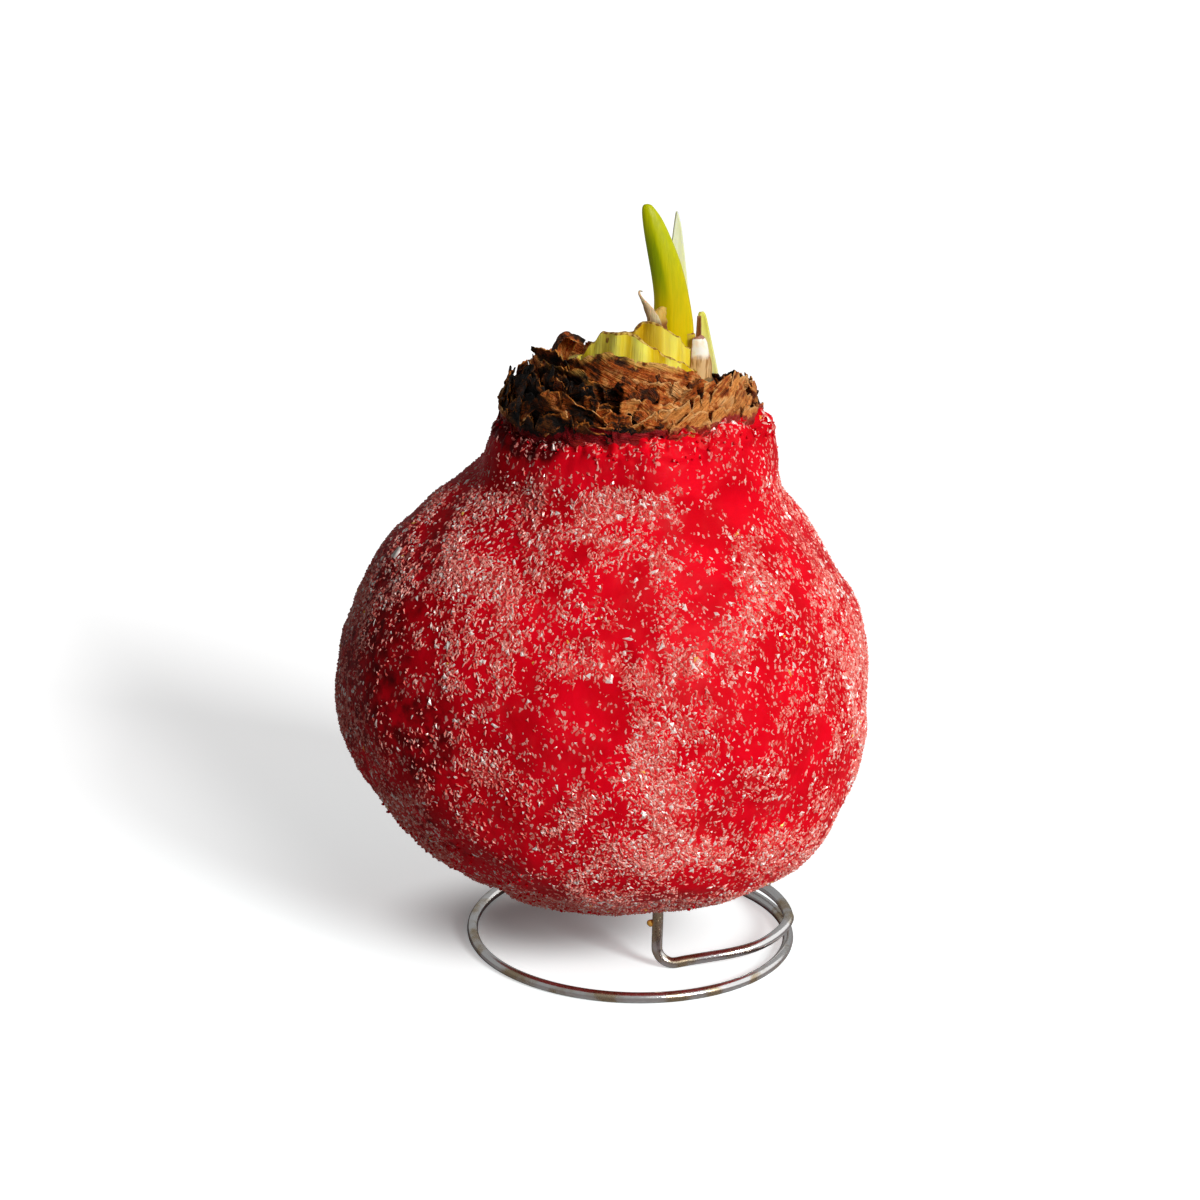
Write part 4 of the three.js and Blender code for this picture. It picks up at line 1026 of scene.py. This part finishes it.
def crushed(along, over, seed, amount):
    # push out and push up of crushed dry skin; its folds run along the first of the two lengths given in mm
    spot = Vector((along / 2.4, over, seed * 13.7))
    spot += 1.1 * noise.noise_vector(spot / 3.1)
    push = 1.5 * crumple(spot, 3.1) - 0.8 * crumple(spot + Vector((90, 0, 0)), 1.5) + 0.25 * crumple(spot, 0.7)
    lift = 0.9 * noise.noise(spot / 2.4 + Vector((40, 0, 0)))
    return amount * push * 1.3, amount * lift


def turned(along, over, lie):
    c, s = math.cos(math.radians(lie)), math.sin(math.radians(lie))
    return along * c + over * s, over * c - along * s


def rimOfWax(angle):
    return around(coat["rim"], angle)


def alongTable(table, degrees):
    for (a, low), (b, high) in zip(table, table[1:]):
        if degrees <= b:
            return mix(low, high, smoothstep(max(degrees, a), a, b))
    return table[-1][1]


def makeSheet(sheet, seed):
    tops = sheet["tops"]
    first, last = tops[0][0], tops[-1][0]
    footRadius, topRadius = sheet["radius"]
    length = math.radians(last - first) * footRadius
    tall = max(height for _, height in tops) - sheet["foot"]
    obj = newGrid(int(length / skins["cell"]), int(tall / skins["cell"]) + 1)
    edges, waxed, shades, pales, hollows, grains = [], [], [], [], [], []
    for v in obj.data.vertices:
        u, t = v.co.x + 0.5, v.co.y + 0.5
        degrees = mix(first, last, u) + sheet.get("skew", 0) * (1 - t) * (1 - u)
        angle = math.radians(degrees) + 0.05 * noise.noise(Vector((t * 3, seed, u * 2)))
        arc = angle * footRadius
        top = max(sheet["foot"] + 0.8, alongTable(tops, mix(first, last, u)) + sheet.get("tear", 1) * tornEdge(arc, seed))
        z = mix(sheet["foot"], top, t)
        fold = 1.0 * noise.noise(Vector((arc / 8, seed, t * 1.3))) * t
        tuck = 1.2 * smoothstep(abs(2 * u - 1), 0.82, 1.0)
        r = mix(footRadius, topRadius, t) + fold + sheet["lean"] * t ** 3 - tuck
        along, over = turned(arc, z, sheet["lie"])
        push, rise = crushed(along, over, seed, (0.4 + 0.4 * t) * sheet.get("crush", 1))
        ridge = 1 - smoothstep(abs(noise.noise(Vector((along / 8, over / 3, seed * 5)))), 0.02, 0.12)
        ridge *= sheet.get("ridges", 0.2)
        r += push + 0.3 * ridge
        v.co = Vector((neckX + r * math.cos(angle), r * math.sin(angle), z + rise * t)) * mm
        below = (1 - t) * (top - sheet["foot"])
        # pale along the torn top, and a painted highlight along the raised ridge lines
        edges.append(max(1 - smoothstep(below, 0.05, 0.4), 0.85 * ridge))
        hollows.append(push)
        grains.append(Vector((over, seed * 7, along)) * mm)
        waxed.append(sheet["waxed"] * (1 - smoothstep(z - rimOfWax(angle), 0.3, 2.6)))
        shades.append(mix(*sheet["shade"], u))
        pales.append(sheet.get("pale", 0) * (1 - smoothstep(below, 0.5, 1.4)) * smoothstep(abs(2 * u - 1), 0.75, 0.3))
    named = (("edge", edges), ("waxed", waxed), ("shade", shades), ("pale", pales), ("hollow", hollows))
    for name, values in named:
        storeValues(obj, name, values)
    storePlaces(obj, "grain", grains)
    applyModifier(obj, "SOLIDIFY", thickness=skins["thickness"] * mm, offset=0)
    return obj


def sheetsBehind():
    draw = random.Random(skins["seed"])
    sheets = []
    for piece, radius, foot, height, count in skins["behind"]:
        span = 210 / count
        for k in range(count):
            start = -24 + span * k + draw.uniform(-8, 8)
            turns = [start + step * span * 1.35 / 4 for step in range(5)]
            sunk = 3.2 if height > 109 else 1.2
            tops = [(turn, height - sunk * smoothstep(turn, 80, 25) + draw.uniform(-0.7, 0.7)) for turn in turns]
            shade = draw.uniform(0.3, 0.85)
            inset = draw.uniform(-0.3, 0.3)
            sheets.append({"radius": (radius[0] + inset, radius[1] + inset), "foot": foot, "tops": tops,
                           "shade": (shade, shade + draw.uniform(-0.2, 0.1)), "waxed": 0.9 if foot < 103 else 0,
                           "piece": piece, "lean": draw.uniform(-0.3, 0.8), "lie": draw.uniform(-50, 50)})
    return sheets


def looseFlakes():
    # small torn bits that lie on the sheets and lift at one end, dark at the left and tan at the right, partly as
    # painted shade
    draw = random.Random(skins["seed"] + 5)
    flakes = []
    for k in range(skins["bits"]):
        degrees = draw.uniform(150, 300) if k % 3 else draw.uniform(-60, 160) % 360
        angle = math.radians(degrees)
        share = draw.random()
        high = mix(108.6, 112.6, smoothstep(degrees, 165, 215)) - 3.8 * smoothstep(degrees, 282, 318)
        height = mix(104.6, high, share)
        reach = alongTable([(104, 22.9), (107, 22.6), (109, 21.9), (111, 20.2), (114, 18.6)], height)
        out = Vector((math.cos(angle), math.sin(angle), 0.25)).normalized()
        level = Vector((-math.sin(angle), math.cos(angle), 0))
        lie = mix(-12, 40, smoothstep(degrees, 235, 300)) + draw.gauss(0, 24)
        heading = level * math.cos(math.radians(lie)) + out.cross(level) * -math.sin(math.radians(lie))
        length, width, lifted = draw.uniform(2.2, 6), draw.uniform(0.7, 1.9), draw.uniform(0, 0.8) * mix(1, 0.4, smoothstep(degrees, 255, 285))
        foot = Vector((neckX + reach * math.cos(angle), reach * math.sin(angle), height))
        spine = [foot + heading * (length * (t - 0.5)) + out * (lifted * t ** 3 - 0.35 - 0.03 * (length * (t - 0.5)) ** 2)
                 for t in (0, 0.35, 0.7, 1)]
        dark = draw.uniform(0, 0.25) if draw.random() < 0.78 else draw.uniform(0.45, 0.65)
        # the turn from dark at the left to tan at the right is partly painted shade
        shade = mix(dark, draw.uniform(0.55, 0.95), smoothstep(degrees + draw.uniform(-12, 12), 238, 292))
        flakes.append({"spine": [tuple(point) for point in spine], "side": tuple(out.cross(heading)),
                       "halfWidths": [width * draw.uniform(0.3, 0.8), width, width * draw.uniform(0.7, 1), width * 0.35],
                       "cup": draw.uniform(-0.35, 0.35), "seed": 50 + k, "shade": shade, "pale": 0.0,
                       "high": height > 108.5})
    return flakes


def makeBlade(blade, across=10, steps=8, crease=0.0):
    # a grid laid along a smooth spine; it has half widths, a way across it, a cup and a thickness
    line = smoothRows([(*point, width) for point, width in zip(blade["spine"], blade["halfWidths"])], steps)
    sideways = Vector(blade["side"]).normalized()
    obj = newGrid(across, len(line) - 1)
    length = sum((b - a).to_3d().length for a, b in zip(line, line[1:]))
    edges, hollows, grains = [], [], []
    for v in obj.data.vertices:
        s, t = 2 * v.co.x, v.co.y + 0.5
        here = alongRows(line, t)
        ahead = (alongRows(line, min(1, t + 0.02)) - alongRows(line, max(0, t - 0.02))).to_3d()
        out = sideways.cross(ahead).normalized()
        width = here[3]
        point = here.to_3d() + sideways * (s * width) + out * (blade["cup"] * width * s * s)
        push = 0
        if crease:
            push, rise = crushed(t * length, s * width, blade["seed"], crease)
            point += out * push + Vector((0, 0, rise))
            torn = noise.noise(Vector((t * length / 1.1, blade["seed"], s))) + 0.5 * noise.noise(
                Vector((t * length / 0.4, blade["seed"], s + 4)))
            point += sideways * (min(0.55, 1.4 * crease) * width * s * torn)
        v.co = point * mm
        edges.append(max(smoothstep(abs(s), 0.82, 1), smoothstep(t, 0.93, 1)))
        hollows.append(push)
        grains.append(Vector((s * width, blade["seed"] * 7, t * length)) * mm)
    storeValues(obj, "edge", edges)
    storeValues(obj, "hollow", hollows)
    storePlaces(obj, "grain", grains)
    storeValues(obj, "shade", [blade.get("shade", 0.5)] * len(edges))
    storeValues(obj, "pale", [blade.get("pale", 0) * edge for edge in edges])
    applyModifier(obj, "SOLIDIFY", thickness=blade.get("thickness", skins["thickness"]) * mm, offset=0)
    return obj


skinPieces = {"outer": [], "inner": []}
for number, sheet in enumerate(list(skins["sheets"].values()) + sheetsBehind()):
    skinPieces[sheet["piece"]].append(makeSheet(sheet, number * 3 + 1))
for flap in skins["flaps"]:
    skinPieces["inner"].append(makeBlade(flap, 14, 10, 0.45))
for bit in looseFlakes():
    skinPieces["inner" if bit["high"] else "outer"].append(makeBlade(bit, 10, 5, 0.5))
finishPiece(joinPieces(skinPieces["outer"]), "dry_skins_outer", drySkin, "dark_dry_skin", "outer_dry_skins")
finishPiece(joinPieces(skinPieces["inner"]), "dry_skins_inner", drySkin, "brown_dry_skin", "inner_dry_skins")


# cut fleshy scales

scales = {
    "front": {
        "middle": (4.6, -0.5), "from": 46, "to": 335, "radius": 11.4, "thickness": 1.3, "root": 110.2, "seed": 2,
        "pleat": 0.42, "flare": 0.5, "darkerAndFoldShade": 0, "flecks": [(240.5, 118.9)], "tops": [
            (46, 111.9), (90, 112.5), (150, 112.2), (195, 113), (212, 115.1), (223, 117.9), (233, 120.1),
            (256, 120.6), (264, 120.4), (285, 118), (297, 116.3), (314, 114.9), (335, 112.6)]},
    "middle": {
        "middle": (5.6, -0.3), "from": 62, "to": 339, "radius": 8.7, "thickness": 1.1, "root": 110.2, "seed": 6,
        "pleat": 0.42, "flare": 0.3, "darkerAndFoldShade": 1, "tops": [
            (60, 112.4), (110, 113.3), (160, 113), (200, 114.5), (230, 117.5), (254, 120), (267, 121.7), (277, 121.9),
            (287, 121.5), (297, 120.5), (314, 119.1), (339, 116.2)]},
    "fragment": {
        "spine": [(13.3, -1.7, 110.4), (13.3, -1.7, 115), (13.35, -1.7, 117.4), (13.5, -1.7, 118.3)],
        "halfWidths": [1.1, 1.1, 1.1, 0.9], "side": (1, 0.2, 0), "cup": -0.3, "seed": 5, "thickness": 0.7},
}


def makeScalePiece(scale, cell=0.45):
    start, end = math.radians(scale["from"]), math.radians(scale["to"])
    columns = int((end - start) * scale["radius"] / cell)
    obj = newGrid(columns, 16)
    rim = obj.vertex_groups.new(name="rim")  # the scale thins towards its cut
    cut, darkerAndFoldShade = [], []
    for v in obj.data.vertices:
        u, t = v.co.x + 0.5, v.co.y + 0.5
        angle = mix(start, end, u)
        seed = scale["seed"]
        ragged = 0.16 * noise.noise(Vector((angle * 9, seed, 0))) + 0.1 * noise.noise(Vector((angle * 31, seed, 3)))
        top = around(scale["tops"], angle) + ragged
        z = mix(scale["root"], top, t)
        tall = z - scale["root"]
        sway = 2.6 * noise.noise(Vector((angle * 2, seed, 7)))
        pleat = scale["pleat"] * (math.sin(13 * angle + seed + sway) + 0.8 * noise.noise(Vector((angle * 7, seed, z / 9)))) * t
        r = scale["radius"] - 0.06 * tall + pleat + scale["flare"] * t ** 4 - scale["thickness"] / 2
        x, y = scale["middle"]
        v.co = Vector((x + r * math.cos(angle), y + r * math.sin(angle), z)) * mm
        thin = 0.6 + 0.35 * noise.noise(Vector((angle * 3, seed, 9)))
        rim.add([v.index], mix(1, thin, smoothstep(top - z, 2.2, 0.1)), "REPLACE")
        line = smoothstep(top - z, 0.32, 0.0) if tall > 1 else 0.4
        for degrees, height in scale.get("flecks", []):
            line = max(line, 1 - smoothstep(math.hypot((math.degrees(angle) - degrees) * 0.17, (z - height) * 0.5), 0.25, 0.55))
        cut.append(line)
        # painted shade in the pleat troughs; the middle scale is also darker towards its left
        fold = math.sin(13 * angle + seed + sway)
        darkerAndFoldShade.append(min(1, scale["darkerAndFoldShade"] * mix(1, 0.15, smoothstep(math.degrees(angle), 284, 304)) + 0.5 * smoothstep(-fold, 0.3, 1)))
    storeValues(obj, "cut", cut)
    storeValues(obj, "darkerAndFoldShade", darkerAndFoldShade)
    applyModifier(obj, "SOLIDIFY", thickness=scale["thickness"] * mm, offset=0, vertex_group="rim")
    obj.vertex_groups.clear()
    applyModifier(obj, "BEVEL", width=0.25 * mm, segments=2, limit_method="ANGLE")
    applyModifier(obj, "SUBSURF", levels=1, render_levels=1)
    return obj


finishPiece(makeScalePiece(scales["front"]), "fleshy_scale_front", fleshyScale, "fleshy_scale", "front_scale")
fragment = makeBlade(scales["fragment"])
storeValues(fragment, "cut", [mix(0.5, 1, item.value) for item in fragment.data.attributes["edge"].data])
storeValues(fragment, "darkerAndFoldShade", [1.0] * len(fragment.data.vertices))
middleScale = joinPieces([makeScalePiece(scales["middle"]), fragment])
finishPiece(middleScale, "fleshy_scale_middle", fleshyScale, "fleshy_scale", "middle_scale")


# membrane, shoot and leaves

leaves = {
    "membrane": {
        "spine": [(7.6, -4.7, 110.4), (7.6, -4.8, 117), (7.2, -4.8, 121), (6.4, -4.8, 122.8), (5.8, -4.9, 124),
                  (5.0, -4.9, 125.2), (4.55, -4.9, 126), (4.6, -4.9, 126.5), (5.0, -4.9, 126.5)],
        "halfWidths": [1.5, 1.6, 1.2, 0.95, 0.65, 0.3, 0.18, 0.14, 0.1], "side": (0.97, -0.25, 0), "cup": -0.3,
        "seed": 4, "thickness": 0.22, "shade": 0},
    "lobe": {
        "spine": [(8.4, -3.9, 112), (8.5, -4.4, 118), (8.5, -4.6, 121), (8.4, -4.4, 122.6), (8.5, -3.7, 123.4),
                  (8.7, -3.2, 122.9)],
        "halfWidths": [1.4, 1.5, 1.2, 1.15, 0.9, 0.5], "side": (0.9, 0.45, 0), "cup": -0.35, "seed": 19,
        "thickness": 0.22, "shade": 1},
    "back": {
        "spine": [(11.4, 4.6, 110.3), (11.5, 4.6, 117), (11.3, 4.7, 124), (11.1, 4.7, 131), (10.95, 4.6, 136),
                  (10.75, 4.4, 138.5)],
        "halfWidths": [2.3, 2.3, 1.9, 1.2, 0.6, 0.12], "side": (1, 0, 0), "cup": 0.12, "seed": 1, "thickness": 0.8},
    "side": {
        "spine": [(16.7, 2.6, 110.2), (16.6, 2.6, 112), (16.4, 2.7, 114.5), (16.05, 2.8, 118), (15.75, 2.8, 120.4),
                  (15.6, 2.8, 121.1)],
        "halfWidths": [2.1, 1.8, 1.4, 0.9, 0.6, 0.25], "side": (1, 0.1, 0), "cup": 0.25, "seed": 1, "thickness": 0.7},
    "end": {
        "spine": [(15.9, -2.4, 110.4), (15.8, -2.5, 113), (15.5, -2.6, 115), (15.35, -2.6, 116.6), (15.1, -2.6, 117.5),
                  (14.8, -2.6, 118)],
        "halfWidths": [1.5, 1.5, 1.2, 1.0, 0.75, 0.3], "side": (1, 0.35, 0), "cup": -0.5, "seed": 9, "thickness": 1.4},
    "sliver": {
        "spine": [(15.2, 1.4, 110.4), (15.2, 1.4, 114), (15.2, 1.4, 118), (15.2, 1.4, 120.7)],
        "halfWidths": [0.6, 0.5, 0.4, 0.3], "side": (1, 0, 0), "cup": 0.3, "seed": 14, "thickness": 0.3},
}

shoot = {
    "columns": 32, "y": -0.4, "ridge": 0.44, "ridgeSide": -0.12,
    "sections": [  # height, middle in x, half width, half depth
        (110.3, 11, 3.3, 2.5), (114, 11, 3.5, 2.6), (119.4, 10.7, 3.55, 2.6), (123.9, 10.3, 3.15, 2.4),
        (127.4, 9.65, 2.95, 2.2), (131, 8.75, 2.75, 2), (135, 7.5, 2.3, 1.7), (138.2, 6.45, 1.75, 1.25),
        (140.1, 5.7, 1.1, 0.8), (140.9, 5.5, 0.5, 0.4)],
}


def makeShoot():
    rows = smoothRows(shoot["sections"], 4)
    rings = [(x, shoot["y"], z, half, deep) for z, x, half, deep in rows]
    columns = shoot["columns"]
    obj = stackRings(rings, columns)
    shaded = []
    for v in obj.data.vertices:
        x, y, z, half, deep = rings[v.index // columns]
        across, out = (v.co.x / mm - x) / half, (v.co.y / mm - y) / deep
        edged = 1 / max(0.6, abs(across) + abs(out))  # a lens with a keel instead of an ellipse
        pull = mix(1, edged, shoot["ridge"] * 0.55)
        v.co.x = (x + across * half + shoot["ridgeSide"] * half * (1 - across * across) * (out < 0)) * mm
        v.co.y = (y + out * deep * pull) * mm
        left = smoothstep(-across, -0.1, 0.25) * (out < 0.4)
        shaded.append(left * smoothstep(z, 122, 130) * (1 - smoothstep(z, 133, 139)))
    storeValues(obj, "shaded", shaded)
    count = len(rings) * columns
    closeRing(obj, count - columns, columns)
    closeRing(obj, 0, columns)
    tidyNormals(obj)
    applyModifier(obj, "SUBSURF", levels=1, render_levels=1)
    return obj


def makeLeafPiece(blade):
    obj = makeBlade(blade, 12, 8)
    storeValues(obj, "shaded", [0.0] * len(obj.data.vertices))
    applyModifier(obj, "BEVEL", width=0.2 * mm, segments=2, limit_method="ANGLE")
    applyModifier(obj, "SUBSURF", levels=1, render_levels=1)
    return obj


membrane = joinPieces([makeBlade(leaves["membrane"], 12, 8, 0.08), makeBlade(leaves["lobe"], 12, 8, 0.14)])
finishPiece(membrane, "membrane_hook", paperyMembrane, "papery_membrane", "membrane_curl")
finishPiece(makeShoot(), "shoot_main", shootGreen, "green_shoot", "main_shoot")
finishPiece(makeLeafPiece(leaves["back"]), "leaf_back", paleLeaf, "pale_leaf", "back_leaf")
finishPiece(makeLeafPiece(leaves["side"]), "leaf_side", yellowLeaf, "yellow_leaf", "side_leaf")
finishPiece(makeLeafPiece(leaves["end"]), "white_scale_end", whiteScale, "white_scale", "right_scale")
finishPiece(makeBlade(leaves["sliver"], 6, 8, 0.1), "sliver_brown", paperyMembrane, "brown_dry_skin", "brown_sliver")


# wire stand: one round wire along the same route as the solid

wire = {
    "radius": 1.0, "ringRadius": 29.5, "ringMiddle": (6.5, 6), "turn": 402, "step": 3, "levelFrom": 210, "rise": 3.17,
    "arm": [(35, 2.9, 3.75), (33, -0.5, 3.4), (30.6, -3.2, 3.05), (28, -4.9, 2.7), (24.9, -6.1, 2.35),
            (21.6, -6.9, 2), (18.4, -7.5, 1.6), (16.2, -7.9, 1.3)],
    "bend": 3.2, "spike": (11.3, -8.2), "spikeTop": 28,
}


def wireRoute():
    route = []
    middleX, middleY = wire["ringMiddle"]
    for degrees in range(wire["turn"], -1, -wire["step"]):
        angle = math.radians(degrees)
        climb = smoothstep(wire["levelFrom"] - degrees, 0, wire["levelFrom"])
        route.append((middleX + wire["ringRadius"] * math.cos(angle), middleY + wire["ringRadius"] * math.sin(angle),
                      wire["radius"] + wire["rise"] * climb))
    route += wire["arm"]
    spikeX, spikeY = wire["spike"]
    for k in range(6):
        angle = math.pi / 2 * k / 5
        route.append((spikeX + wire["bend"] * (1 - math.sin(angle)), spikeY,
                      wire["radius"] + 0.05 + wire["bend"] * (1 - math.cos(angle))))
    return route + [(spikeX, spikeY, z) for z in (8, 14, 21, wire["spikeTop"])]


def makeWire():
    curve = bpy.data.curves.new("wire", "CURVE")
    curve.dimensions = "3D"
    line = smoothRows(wireRoute(), 2)
    spline = curve.splines.new("POLY")
    spline.points.add(len(line) - 1)
    for point, place in zip(spline.points, line):
        point.co = (*(place * mm), 1)
    curve.bevel_depth = wire["radius"] * mm
    curve.bevel_resolution = 6
    curve.use_fill_caps = True
    obj = bpy.data.objects.new("wire", curve)
    bpy.context.collection.objects.link(obj)
    pick(obj)
    bpy.ops.object.convert(target="MESH")
    obj = bpy.context.object
    tidyNormals(obj)
    return obj


finishPiece(makeWire(), "wire_round", steelWire, "steel_wire", "wire_stand")


# camera, light and floor

shot = {"aim": (-0.83, 6.0, 66.1), "distance": 650, "down": 18.894, "roll": 1.55, "lens": 107.58}

lamps = {  # azimuth and height of the lamp in degrees, strength, spread of its light in degrees
    "key": {"azimuth": -49, "height": 28, "strength": 2.85, "spread": 20},
    "side": {"azimuth": 4, "height": 22, "strength": 0.62, "spread": 70},
    "above": {"azimuth": 10, "height": 70, "strength": 0.13, "spread": 120},
}


def makeCamera():
    down = math.radians(shot["down"])
    place = Vector(shot["aim"]) * mm + Vector((0, -math.cos(down), math.sin(down))) * shot["distance"] * mm
    deselectAll()
    bpy.ops.object.camera_add()
    camera = bpy.context.object
    camera.matrix_world = (Matrix.Translation(place) @ Matrix.Rotation(math.pi / 2 - down, 4, "X")
                           @ Matrix.Rotation(math.radians(shot["roll"]), 4, "Z"))
    camera.data.lens = shot["lens"]
    camera.data.sensor_width = 36
    camera.data.clip_start = 0.01
    bpy.context.scene.camera = camera


def makeLamps():
    for name, lamp in lamps.items():
        deselectAll()
        turn = (0, math.radians(90 - lamp["height"]), math.radians(lamp["azimuth"]))
        bpy.ops.object.light_add(type="SUN", rotation=turn)
        light = bpy.context.object
        light.name = name
        light.data.energy = lamp["strength"]
        light.data.angle = math.radians(lamp["spread"])
    world = bpy.data.worlds.new("studio")
    bpy.context.scene.world = world
    world.use_nodes = True
    sky = world.node_tree.nodes["Background"]
    sky.inputs["Color"].default_value = (1, 1, 1, 1)
    rays = addNode(world.node_tree, "ShaderNodeLightPath").outputs
    shiny = maths(world.node_tree, "MULTIPLY", rays["Is Glossy Ray"], 0.24)
    bright = maths(world.node_tree, "ADD", rays["Is Camera Ray"], shiny)
    world.node_tree.links.new(maths(world.node_tree, "ADD", bright, 0.04), sky.inputs["Strength"])


def makeFloorPlane():
    deselectAll()
    bpy.ops.mesh.primitive_plane_add(size=6)
    floor = bpy.context.object
    floor.name = "studio_floor"
    floor.data.materials.append(makeFloor())


makeCamera()
makeLamps()
makeFloorPlane()
bpy.context.scene.view_settings.view_transform = "Standard"
print("studio ready")
